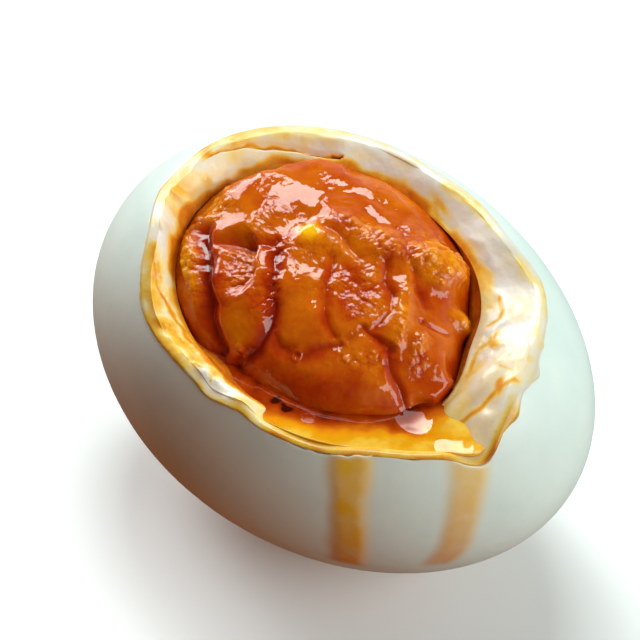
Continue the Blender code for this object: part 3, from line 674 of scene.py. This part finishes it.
class Surface:
    """The node tree of a material or a world, with short calls for its nodes."""

    def __init__(self, owner, shader="Principled BSDF"):
        owner.use_nodes = True
        self.owner = owner
        self.tree = owner.node_tree
        self.shader = self.tree.nodes[shader]

    def node(self, kind, **settings):
        made = self.tree.nodes.new(kind)
        for key, value in settings.items():
            setattr(made, key, value)
        return made

    def link(self, value, socket):
        if isinstance(value, bpy.types.NodeSocket):
            self.tree.links.new(value, socket)
        else:
            socket.default_value = value

    def put(self, **inputs):
        """Sets or links the shader's own inputs, such as Base_Color."""
        for key, value in inputs.items():
            self.link(value, self.shader.inputs[key.replace("_", " ")])

    def mask(self, label):
        return self.node("ShaderNodeAttribute", attribute_name=label).outputs["Fac"]

    def place(self):
        """Object coordinates in millimetres."""
        where = self.node("ShaderNodeTexCoord").outputs["Object"]
        sized = self.node("ShaderNodeMapping")
        self.link(where, sized.inputs["Vector"])
        sized.inputs["Scale"].default_value = (1.0 / METRES,) * 3
        return sized.outputs["Vector"]

    def noise(self, size, detail, roughness=0.55, warp=0.0):
        """Noise from 0 to 1 whose bumps are about size millimetres."""
        made = self.node("ShaderNodeTexNoise")
        self.link(self.place(), made.inputs["Vector"])
        made.inputs["Scale"].default_value = 1.0 / size
        made.inputs["Detail"].default_value = detail
        made.inputs["Roughness"].default_value = roughness
        made.inputs["Distortion"].default_value = warp
        return made.outputs["Fac"]

    def math(self, operation, first, second):
        made = self.node("ShaderNodeMath", operation=operation)
        for socket, value in zip(made.inputs, (first, second)):
            self.link(value, socket)
        return made.outputs[0]

    def vary(self, value, noise, amount):
        """The value moved up and down by noise, by amount from trough to crest."""
        return self.math("ADD", value, self.math("MULTIPLY", self.math("SUBTRACT", noise, 0.5), amount))

    def spread(self, value, low, unshaded, to_low=0.0, to_high=1.0, kind="SMOOTHSTEP"):
        """Maps low..high to to_low..to_high, held inside them."""
        made = self.node("ShaderNodeMapRange", interpolation_type=kind)
        for socket, given in zip(made.inputs, (value, low, unshaded, to_low, to_high)):
            self.link(given, socket)
        return made.outputs[0]

    def ramp(self, value, *stops):
        """Colours along a value: each stop is a place from 0 to 1 and a display colour."""
        made = self.node("ShaderNodeValToRGB")
        self.link(value, made.inputs["Fac"])
        points = made.color_ramp.elements
        while len(points) < len(stops):
            points.new(1.0)
        for point, (place, colour) in zip(points, stops):
            point.position = place
            point.color = linear(*colour)
        return made.outputs["Color"]

    def mix(self, share, first, second, blend="MIX"):
        made = self.node("ShaderNodeMix", data_type="RGBA", blend_type=blend)
        self.link(share, made.inputs["Factor"])
        self.link(first, made.inputs["A"])
        self.link(second, made.inputs["B"])
        return made.outputs["Result"]

    def bump(self, height, distance, strength=1.0, normal=None):
        """distance is in millimetres."""
        made = self.node("ShaderNodeBump")
        self.link(height, made.inputs["Height"])
        made.inputs["Distance"].default_value = distance * METRES
        made.inputs["Strength"].default_value = strength
        if normal is not None:
            self.link(normal, made.inputs["Normal"])
        return made.outputs["Normal"]


def shell_surface():
    s = Surface(bpy.data.materials.new("eggshell"))
    cloud = s.noise(9.0, 3.0)
    base = s.ramp(cloud, (0.3, (213, 229, 222)), (0.55, (221, 235, 227)), (0.8, (228, 239, 228)))
    speck = s.spread(s.noise(0.55, 2.0), 0.66, 0.76)
    base = s.mix(s.math("MULTIPLY", speck, 0.1), base, linear(168, 184, 172))
    stain = s.math("MULTIPLY", s.mask("drip"), s.spread(s.noise(3.0, 3.0), 0.2, 0.7, 0.75, 1.0))
    amber = s.ramp(s.mask("fall"), (0.0, (240, 190, 42)), (0.5, (228, 168, 26)), (1.0, (220, 134, 16)))
    colour = s.mix(stain, base, amber)
    colour = s.mix(s.math("MULTIPLY", s.mask("edge"), 0.6), colour, linear(236, 238, 224))
    s.put(Base_Color=colour, Roughness=s.math("ADD", s.math("MULTIPLY", cloud, 0.1), 0.33))
    s.put(Normal=s.bump(s.noise(0.35, 2.0), 0.012, 0.5, s.bump(s.noise(2.2, 2.0), 0.05, 0.4)))
    s.put(Subsurface_Weight=0.12, Subsurface_Scale=0.0012, Subsurface_Radius=(1.0, 0.9, 0.7))
    return s.owner


def white_surface():
    s = Surface(bpy.data.materials.new("cured_white"))
    colour = s.ramp(
        s.vary(s.mask("stain"), s.noise(1.7, 4.0, 0.6, 0.6), 0.34),
        (0.0, (239, 232, 226)), (0.22, (240, 225, 202)), (0.42, (250, 218, 146)),
        (0.6, (248, 184, 54)), (0.8, (224, 124, 12)), (1.0, (140, 40, 6)),
    )
    s.put(Base_Color=colour, Roughness=0.5, Specular_IOR_Level=0.2)
    s.put(Coat_Weight=0.5, Coat_Roughness=0.16)
    s.put(Subsurface_Weight=0.35, Subsurface_Scale=0.002, Subsurface_Radius=(1.0, 0.7, 0.35))
    s.put(Normal=s.bump(s.noise(0.5, 3.0), 0.06, 0.5, s.bump(s.noise(1.6, 2.0), 0.1, 0.5)))
    return s.owner


def yolk_surface():
    s = Surface(bpy.data.materials.new("cured_yolk"))
    # Its tone mask holds painted shade: darker in the clefts and low on the yolk's side.
    colour = s.ramp(
        s.vary(s.mask("tone_and_shade"), s.noise(2.6, 4.0, 0.6), 0.3),
        (0.0, (92, 10, 2)), (0.2, (142, 26, 2)), (0.36, (178, 56, 2)),
        (0.52, (198, 92, 4)), (0.7, (218, 118, 4)), (0.85, (232, 150, 8)),
        (1.0, (250, 198, 14)),
    )
    s.put(Base_Color=colour, Roughness=0.5, Specular_IOR_Level=0.0)
    s.put(Coat_Weight=1.0, Coat_Roughness=0.02, Coat_IOR=1.45)
    s.put(Subsurface_Weight=0.22, Subsurface_Scale=0.0025, Subsurface_Radius=(1.0, 0.45, 0.1))
    fine = s.math("MULTIPLY", s.noise(0.35, 2.0), s.mask("grain"))
    s.put(Normal=s.bump(fine, 0.12, 0.8))
    s.link(s.bump(fine, 0.09, 0.7), s.shader.inputs["Coat Normal"])
    return s.owner


def oil_surface():
    s = Surface(bpy.data.materials.new("yolk_oil"))
    deep = s.mask("deep")
    colour = s.ramp(
        s.vary(deep, s.noise(2.4, 3.0), 0.5),
        (0.0, (252, 204, 70)), (0.16, (240, 164, 10)), (0.36, (226, 138, 6)),
        (0.52, (208, 104, 6)), (0.7, (172, 64, 4)), (0.9, (136, 36, 2)),
        (1.0, (56, 12, 4)),
    )
    s.put(Base_Color=colour, Roughness=0.3, Specular_IOR_Level=0.0)
    s.put(Alpha=s.spread(deep, 0.0, 0.4, 0.8, 1.0))
    s.put(Coat_Weight=s.spread(deep, 0.5, 0.8, 1.0, 0.2), Coat_Roughness=0.02)
    return s.owner


# Shell


def drip_share(points):
    """Where oil has run down the shell, from 0 to 1, and how far down it is, from 0 to 1."""
    own = points @ FRAME
    lift = own[..., 2]
    turn = np.degrees(np.arctan2(own[..., 1], own[..., 0]))
    around = np.hypot(own[..., 0], own[..., 1])
    share, fall = np.zeros(lift.shape), np.zeros(lift.shape)
    for start, end, half_start, half_end, highest, lowest, strength in DRIPS:
        down = np.clip((highest - lift) / (highest - lowest), 0.0, 1.0)
        side = np.radians(turn - start - (end - start) * down) * around
        side = side + uneven(points, DRIP_WAVES)
        half_width = half_start + (half_end - half_start) * down
        across = 1.0 - smoothstep(DRIP_INNER, DRIP_OUTER, np.abs(side) / half_width)
        here = strength * across * smoothstep(lowest, lowest + DRIP_END, lift)
        fall = np.where(here > share, down, fall)
        share = np.maximum(share, here)
    return share, fall


def make_shell():
    around = bearings(steps(SHELL_AROUND))
    edge = polar_at_height(around, chipped_edge_height(around), 0.0)
    shares = 1.0 - (1.0 - np.linspace(0.0, 1.0, steps(SHELL_OUTSIDE) + 1)[1:]) ** SHELL_CROWDING
    rows = []
    for share in shares:
        unit = direction(math.pi + (edge - math.pi) * share, around)
        points = on_egg(unit, 0.0)
        drip, fall = drip_share(points)
        waver = np.minimum(uneven(points, SHELL_WAVES), 0.0)
        points = points + unit * (waver + DRIP_THICKNESS * drip**2 - SHELL_INSET)[:, None]
        gap = np.linalg.norm(points, axis=-1) * (math.pi - edge) * (1.0 - share)
        rows.append((points, drip, fall, 1.0 - smoothstep(PALE_EDGE_FULL, PALE_EDGE_END, gap)))
    none, full = np.zeros(len(around)), np.ones(len(around))
    for share in np.linspace(1.0, 0.0, steps(SHELL_INSIDE) + 1)[:-1]:
        unit = direction(math.pi + (edge - math.pi) * share, around)
        rows.append((on_egg(unit, -SHELL_THICKNESS), none, none, full))
    rings, *masks = (np.array(part) for part in zip(*rows))
    foot = -CENTRE_HEIGHT - (rings @ STRAIGHT_UP)
    rings += np.clip(foot, 0.0, None)[..., None] * STRAIGHT_UP
    under = direction(math.pi, 0.0)
    poles = (on_egg(under, 0.0), on_egg(under, -SHELL_THICKNESS))
    masks = dict(zip(("drip", "fall", "edge"), masks))
    shell = closed_object("eggshell", poles[0], rings, poles[1], shell_surface(), masks)
    ride(shell, "shell")


# White


def cup_radius(degrees):
    """Distance from OUT's line to the lip of the cup that holds the yolk."""
    return oval_radius(degrees, CUP_HALF_LENGTH, CUP_HALF_WIDTH) + swellings(degrees, CUP_WAVES)


def fitting_height(degrees):
    """Height at which the yolk is fitted into its cup, lower under the pool."""
    return LIP_HEIGHT - stretch(degrees, *LIP_DIP)


def lip_height(degrees):
    """Height of the cup's lip, which is raised beside the pool."""
    return fitting_height(degrees) + stretch(degrees, *LIP_RISE)


def yolk_radius(degrees):
    """The yolk's widest radius at these bearings, so that it keeps clear of the cup's lip."""
    moat = MOAT_LEAST + swellings(degrees, MOATS)
    lift = (fitting_height(degrees) - YOLK_LIFT) / YOLK_HALF_HEIGHT
    share_at_lip = (1.0 - lift**YOLK_SQUARENESS_TOP) ** (1.0 / YOLK_SQUARENESS_TOP)
    return (cup_radius(degrees) - moat) / share_at_lip


def pool_share(degrees):
    """1 where oil stands on the rim, 0 well away from it."""
    return stretch(degrees, *POOL)


def rim_outer_radius(degrees):
    """Distance from OUT's line to the white's outer edge, just inside the shell."""
    inset = SHELL_THICKNESS + GAP
    polar = polar_at_height(degrees, edge_height(degrees) + RIM_PROUD, inset)
    return (egg_reach(direction(polar, degrees)) - inset) * np.sin(polar)


def rim_relief(along, across):
    """Height that folds, the crease and grain add to the rim."""
    points = stacked(along, across, 0.0)
    crumbs = np.clip(oval_mounds(along, across, RIM_CRUMBS), 0.0, 1.0)
    grains = (rise * granules(points, *grain) for rise, grain in zip(RIM_GRAIN_HEIGHTS, RIM_GRAINS))
    height = uneven(points, *RIM_BUMPS) + crumbs * sum(grains)
    warp = uneven(points, FOLD_WAVES)
    for path, half_width, rise in FOLDS:
        gap = (distance_to_path(along, across, path) + warp) / half_width
        height += rise * np.exp(-(gap**2))
    gap = (distance_to_path(along, across, CREASE) + CREASE_WARP * warp) / CREASE_HALF_WIDTH
    return height - CREASE_DEPTH * np.exp(-(gap**2))


def rim_stain(degrees, share, along, across):
    """How oily the rim is, from 0 to 1."""
    points = stacked(along, across, 0.0)
    x, y = warped(points, STAIN_WARP)
    stain = STAIN_LEAST + STAIN_PATCH * smoothstep(*RIM_PATCH_EDGE, uneven(points, RIM_PATCHES))
    left = stretch(degrees, *STAIN_LEFT_AT)
    stain = np.maximum(stain, left * (STAIN_LEFT + uneven(points, LEFT_STAIN_WAVES)))
    for path, half_width, amount in STAIN_LINES:
        gap = distance_to_path(x, y, path) / half_width
        stain = np.maximum(stain, amount * np.exp(-(gap**2)))
    for *oval, amount in STAIN_SPOTS:
        stain = np.maximum(stain, amount * oval_mound(x, y, *oval))
    foot = FOOT_LEAST + swellings(degrees, FOOTS)
    near = smoothstep(*FOOT_EDGE, share + uneven(points, FOOT_WAVES))
    stain = np.maximum(stain, foot * near)
    return np.maximum(stain, (STAIN_POOL + uneven(points, POOL_STAIN_WAVES)) * pool_share(degrees))


def rim_height(degrees, share):
    """Height of the white's rim from its outer edge, where share is 0, to the cup's lip."""
    pool = pool_share(degrees)
    outer = rim_outer_radius(degrees)
    radius = outer + (cup_radius(degrees) - outer) * share
    along, across = (part * radius for part in turned(degrees))
    top = edge_height(degrees) + RIM_PROUD * (1.0 - POOL_LOWERS * pool)
    power = RIM_FALL + (POOL_FALL - RIM_FALL) * pool
    height = top - (top - lip_height(degrees)) * share**power
    fade = smoothstep(0.0, RELIEF_BEGINS, share) * (1.0 - POOL_SMOOTHS * pool)
    fade = fade * (1.0 - LIP_SMOOTHS * smoothstep(RELIEF_ENDS, 1.0, share))
    bead = stretch(degrees, *BEAD)
    bead = bead * np.exp(-(((radius - cup_radius(degrees)) / BEAD_WIDTH - 1.0) ** 2))
    return height + fade * rim_relief(along, across) + bead


def yolk_base_reach(unit):
    """Distance from the yolk's centre to its surface along these directions, before its relief."""
    degrees = np.degrees(np.arctan2(unit[..., 1], unit[..., 0]))
    disc = np.hypot(unit[..., 0], unit[..., 1]) / yolk_radius(degrees)
    height = np.abs(unit[..., 2]) / YOLK_HALF_HEIGHT
    power = np.where(unit[..., 2] > 0, YOLK_SQUARENESS_TOP, YOLK_SQUARENESS_BASE)
    return (disc**power + height**power) ** (-1.0 / power)


def hanging_edge(degrees):
    """Rings over the shell's broken edge, down its outside and up again to the rim."""
    ring = in_opening_frame(HANG_RING, degrees, 0.0)
    ragged = np.clip(HANG_MEAN + uneven(ring, HANG_WAVES), *HANG_LIMITS)
    pool = pool_share(degrees)
    drop = (HANG_LEAST + swellings(degrees, HANGS)) * ragged * (1.0 - HANG_POOL_SHORTER * pool)
    thick = HANG_THICKNESS * (1.0 - HANG_POOL_THINNER * pool)
    top = edge_height(degrees)
    edge = polar_at_height(degrees, top - HANG_OUTER_START, 0.0)
    over = direction(edge, degrees)
    low, middle = (direction(edge + part * drop / egg_reach(over), degrees) for part in (1.0, HANG_THICKEST))
    inner = direction(polar_at_height(degrees, top - HANG_INNER_START, HANG_INNER_INSET), degrees)
    crest_height = top + HANG_CREST - HANG_CREST_LOWER * pool
    crest = direction(polar_at_height(degrees, crest_height, -HANG_CREST_LIFT), degrees)
    lifts = (-HANG_INNER_INSET, GAP, GAP, thick / 2, thick, HANG_CREST_LIFT)
    return [on_egg(unit, lift) for unit, lift in zip((inner, over, low, low, middle, crest), lifts)]


def make_white():
    around = bearings(steps(WHITE_AROUND))
    inset = SHELL_THICKNESS + GAP
    edge = polar_at_height(around, edge_height(around) - WHITE_EDGE_BELOW, inset)
    rows = []
    for share in np.linspace(0.0, 1.0, steps(WHITE_OUTSIDE) + 1)[1:]:
        unit = direction(math.pi + (edge - math.pi) * share, around)
        rows.append((on_egg(unit, -inset), np.full(len(around), STAIN_OUTSIDE)))
    soaked = swellings(around, HANG_STAINS) + HANG_STAIN_POOL * pool_share(around)
    for ring in hanging_edge(around):
        rows.append((ring, HANG_STAIN + soaked + uneven(ring, HANG_STAIN_WAVES)))
    outer, inner = rim_outer_radius(around), cup_radius(around)
    for share in np.linspace(0.0, 1.0, steps(WHITE_RIM) + 1):
        points = in_opening_frame(outer + (inner - outer) * share, around, rim_height(around, share))
        rows.append((points, rim_stain(around, share, points[:, 0], points[:, 1])))
    centre = np.array((0.0, 0.0, YOLK_LIFT))
    lip = points - centre
    lip_reach = np.linalg.norm(lip, axis=-1)
    lip_polar = np.arccos(lip[:, 2] / lip_reach)
    lip_gap = lip_reach - yolk_base_reach(direction(lip_polar, around))
    moat = np.radians(MOAT_TURN + np.clip(swellings(around, MOATS), 0.0, MOAT_TURN_MORE))
    for share in np.arange(1, steps(WHITE_CUP)) / steps(WHITE_CUP):
        polar = lip_polar + (math.pi - lip_polar) * share**CUP_CROWDING
        unit = direction(polar, around)
        apart = 1.0 - smoothstep(0.0, moat, polar - lip_polar)
        reach = yolk_base_reach(unit) + CUP_GAP + (lip_gap - CUP_GAP) * apart
        rows.append((centre + unit * reach[:, None], np.full(len(around), STAIN_CUP)))
    under = direction(math.pi, 0.0)
    poles = (on_egg(under, -inset), centre + under * (yolk_base_reach(under) + 2 * CUP_GAP))
    rings, stains = (np.array(part) for part in zip(*rows))
    masks = {"stain": stains}
    white = closed_object("cured_white", poles[0], rings, poles[1], white_surface(), masks)
    ride(white, "white")


# Yolk


def yolk_relief(points):
    """Height added to the yolk's plain form, its tone with painted shade in the clefts, and how grainy it is.
    """
    along, across = warped(points, YOLK_WARP)
    height = oval_mounds(along, across, LUMPS)
    for *oval, top, slope_x, slope_y, bend_x, bend_y in PLATES:
        run, side = along - oval[0], across - oval[1]
        plane = top + slope_x * run + slope_y * side - bend_x * run**2 - bend_y * side**2
        share = plate_share(along, across, *oval)
        height += share * (plane - points[..., 2] - YOLK_LIFT - height)
    height += uneven(points, YOLK_CRAGS)
    # The clefts also darken the tone there: painted shade in the hollows.
    depth, cleft_shade = np.zeros(along.shape), np.zeros(along.shape)
    for path, half_width, full, shade in CLEFTS:
        gap = distance_to_path(along, across, path) / half_width
        depth = np.maximum(depth, full * np.clip(1.0 - gap / CLEFT_REACH, 0.0, 1.0) ** CLEFT_POWER)
        cleft_shade = np.maximum(cleft_shade, shade * np.exp(-((gap / CLEFT_SHADE_REACH) ** 2)))
    patches = GRAIN_PATCH * smoothstep(*YOLK_PATCH_EDGE, uneven(points, YOLK_PATCHES))
    grain = np.clip(oval_mounds(along, across, CRUMBLY) + GRAIN_LEAST + patches, 0.0, GRAIN_MOST)
    big, small = (granules(points, *kind) for kind in YOLK_GRAINS)
    share = np.clip(GRAIN_MEAN + uneven(points, YOLK_GRAIN_WAVES), 0.0, GRAIN_HEIGHT_MOST)
    big_rise, small_rise = YOLK_GRAIN_HEIGHTS
    rises = big_rise * big * np.minimum(grain, BIG_GRAIN_MOST) + small_rise * small
    height = height - depth + share * grain * rises + uneven(points, YOLK_BUMPS)
    x, y, radius, wall, rise = BUBBLE
    ring = np.hypot(points[..., 0] - x, points[..., 1] - y) - radius
    height += rise * np.exp(-((ring / wall) ** 2))
    # the clefts' painted shade lowers the tone
    tone_and_shade = YOLK_TONE + uneven(points, *YOLK_TONE_WAVES) - CLEFT_SHADE * cleft_shade
    big_tone, small_tone = YOLK_GRAIN_TONES
    grain_tone = big_tone * big + small_tone * small + GAP_TONE
    return height, tone_and_shade + oval_mounds(along, across, TONES) + grain * grain_tone, grain


def make_yolk():
    around = bearings(steps(YOLK_AROUND))
    polars = list(np.linspace(0.0, YOLK_TOP_TURN, steps(YOLK_TOP) + 1)[1:])
    polars += list(np.linspace(YOLK_TOP_TURN, math.pi, steps(YOLK_UNDER) + 1)[1:-1])
    centre = np.array((0.0, 0.0, YOLK_LIFT))
    unit = direction(np.array(polars)[:, None], around[None, :])
    reach = yolk_base_reach(unit)
    points = unit * reach[..., None]
    relief, tone_and_shade, grain = yolk_relief(points)
    lift = points[..., 2] + YOLK_LIFT
    relief = relief * smoothstep(RELIEF_FLOOR, RELIEF_FULL, lift)
    room = cup_radius(around) - np.hypot(points[..., 0], points[..., 1])
    relief = np.minimum(relief, SIDE_RELIEF + SIDE_SLOPE * np.clip(room - SIDE_ROOM, 0.0, None))
    rings = centre + unit * (reach + relief)[..., None]
    # painted shade: the yolk's tone is darkened low on its side
    unshaded = smoothstep(*SHADED_HEIGHTS, lift)
    masks = {"tone_and_shade": tone_and_shade * (SHADED_TONE + (1.0 - SHADED_TONE) * unshaded), "grain": grain}
    top, under = direction(0.0, 0.0), direction(math.pi, 0.0)
    poles = (rings[0].mean(axis=0), centre + under * yolk_base_reach(under))
    yolk = closed_object("cured_yolk", poles[0], rings, poles[1], yolk_surface(), masks)
    ride(yolk, "yolk")


# Oil


def oil_height(points):
    """Height along OUT of the oil's level surface over these points of the opening's plane."""
    flat = points[..., 0] * STRAIGHT_UP[0] + points[..., 1] * STRAIGHT_UP[1]
    return (OIL_LEVEL - flat) / STRAIGHT_UP[2]


def make_oil():
    """The oil's level surface, from inside the yolk's edge to the shell, closed below."""
    around = np.linspace(*OIL_BEARINGS, steps(OIL_AROUND))
    outer, inner = rim_outer_radius(around) - OIL_OUTER_INSET, cup_radius(around) - OIL_INNER_OVERLAP
    top, deeps = [], []
    for share in np.linspace(0.0, 1.0, steps(OIL_ACROSS)):
        radius = inner + (outer - inner) * share
        points = in_opening_frame(radius, around, 0.0)
        beside = cup_radius(around) - radius + uneven(points, OIL_WAVES)
        points[..., 2] = oil_height(points) + oval_mounds(points[..., 0], points[..., 1], OIL_SWELLS)
        top.append(points)
        deep = OIL_SHALLOW + (OIL_DEEP - OIL_SHALLOW) * smoothstep(*OIL_DEPTH_EDGE, beside)
        # painted shade of small hollows, and a darker streak, deepen the oil's colour there
        deeps.append(deep + oval_mounds(*warped(points, OIL_WARP), OIL_SHADE_AND_STREAKS))
    top = np.array(top)
    rows, count = top.shape[:2]
    under = top - (0.0, 0.0, OIL_THICKNESS)
    points = np.concatenate((top.reshape(-1, 3), under.reshape(-1, 3)))
    index = np.arange(rows * count).reshape(rows, count)
    quads = np.stack((index[:-1, :-1], index[:-1, 1:], index[1:, 1:], index[1:, :-1]), -1)
    quads = quads.reshape(-1, 4)
    below = quads[:, ::-1] + rows * count
    border = np.concatenate((index[0, :], index[1:, -1], index[-1, :-1][::-1], index[1:-1, 0][::-1]))
    following = np.roll(border, -1)
    sides = np.stack((border, border + rows * count, following + rows * count, following), -1)
    faces = np.concatenate((quads, below, sides))
    masks = {"deep": np.concatenate((np.ravel(deeps), np.ravel(deeps)))}
    oil = mesh_object("pooled_oil", points, faces, np.zeros((0, 3), int), oil_surface(), masks)
    ride(oil, "oil")


# Stage


def make_floor():
    corners = [(x * FLOOR_HALF, y * FLOOR_HALF, 0.0) for x, y in ((-1, -1), (1, -1), (1, 1), (-1, 1))]
    mesh = bpy.data.meshes.new("floor")
    mesh.from_pydata(corners, [], [(0, 1, 2, 3)])
    s = Surface(bpy.data.materials.new("floor"))
    colour = s.ramp(s.noise(60.0, 2.0), (0.3, (244, 244, 243)), (0.7, (250, 250, 250)))
    s.put(Base_Color=colour, Roughness=0.8)
    mesh.materials.append(s.owner)
    floor = add_object("floor", mesh)
    floor.visible_diffuse = False
    floor.visible_glossy = False


def spherical(azimuth, elevation):
    """A unit vector: azimuth 0 is towards -Y, and it turns towards +X."""
    a, e = math.radians(azimuth), math.radians(elevation)
    return Vector((math.sin(a) * math.cos(e), -math.cos(a) * math.cos(e), math.sin(e)))


def place_looking(piece, place, aim):
    piece.location = place
    piece.rotation_euler = (place - aim).to_track_quat("Z", "Y").to_euler()


def add_softbox(name, azimuth, elevation, distance, width, height, watts, colour):
    lamp = bpy.data.lights.new(name, "AREA")
    lamp.shape = "RECTANGLE"
    lamp.size, lamp.size_y = width, height
    lamp.energy = watts
    lamp.color = colour
    aim = Vector((0.0, 0.0, LAMP_AIM_HEIGHT))
    place_looking(add_object(name, lamp), aim + spherical(azimuth, elevation) * distance, aim)


def make_lights():
    for lamp in SOFTBOXES:
        add_softbox(*lamp)
    world = bpy.data.worlds.new("studio")
    bpy.context.scene.world = world
    s = Surface(world, "Background")
    where = s.node("ShaderNodeTexCoord").outputs["Generated"]
    toward = s.node("ShaderNodeVectorMath", operation="DOT_PRODUCT")
    s.link(where, toward.inputs[0])
    s.link(DARK_SIDE, toward.inputs[1])
    side = s.spread(toward.outputs["Value"], -1.0, 1.0, kind="LINEAR")
    height = s.node("ShaderNodeSeparateXYZ")
    s.link(where, height.inputs[0])
    overhead = s.spread(height.outputs["Z"], *CEILING)
    s.put(Color=s.mix(1.0, s.ramp(side, *WORLD_COLOURS), overhead, "MULTIPLY"), Strength=WORLD_STRENGTH)


def make_camera():
    camera = add_object("camera", bpy.data.cameras.new("camera"))
    camera.data.lens = CAMERA_LENS
    camera.data.sensor_width = SENSOR_WIDTH
    back, right = spherical(CAMERA_AZIMUTH, CAMERA_ELEVATION), spherical(CAMERA_AZIMUTH + 90.0, 0.0)
    centre = Vector((0.0, 0.0, CENTRE_HEIGHT))
    aim = centre - right * AIM_LEFT + back.cross(right) * AIM_UP
    place_looking(camera, (centre + back * CAMERA_DISTANCE) * METRES, aim * METRES)
    camera.data.clip_start = CLIP_START
    bpy.context.scene.camera = camera


bpy.context.scene.view_settings.view_transform = "Standard"
make_camera()
make_floor()
make_lights()
make_shell()
make_white()
make_yolk()
make_oil()
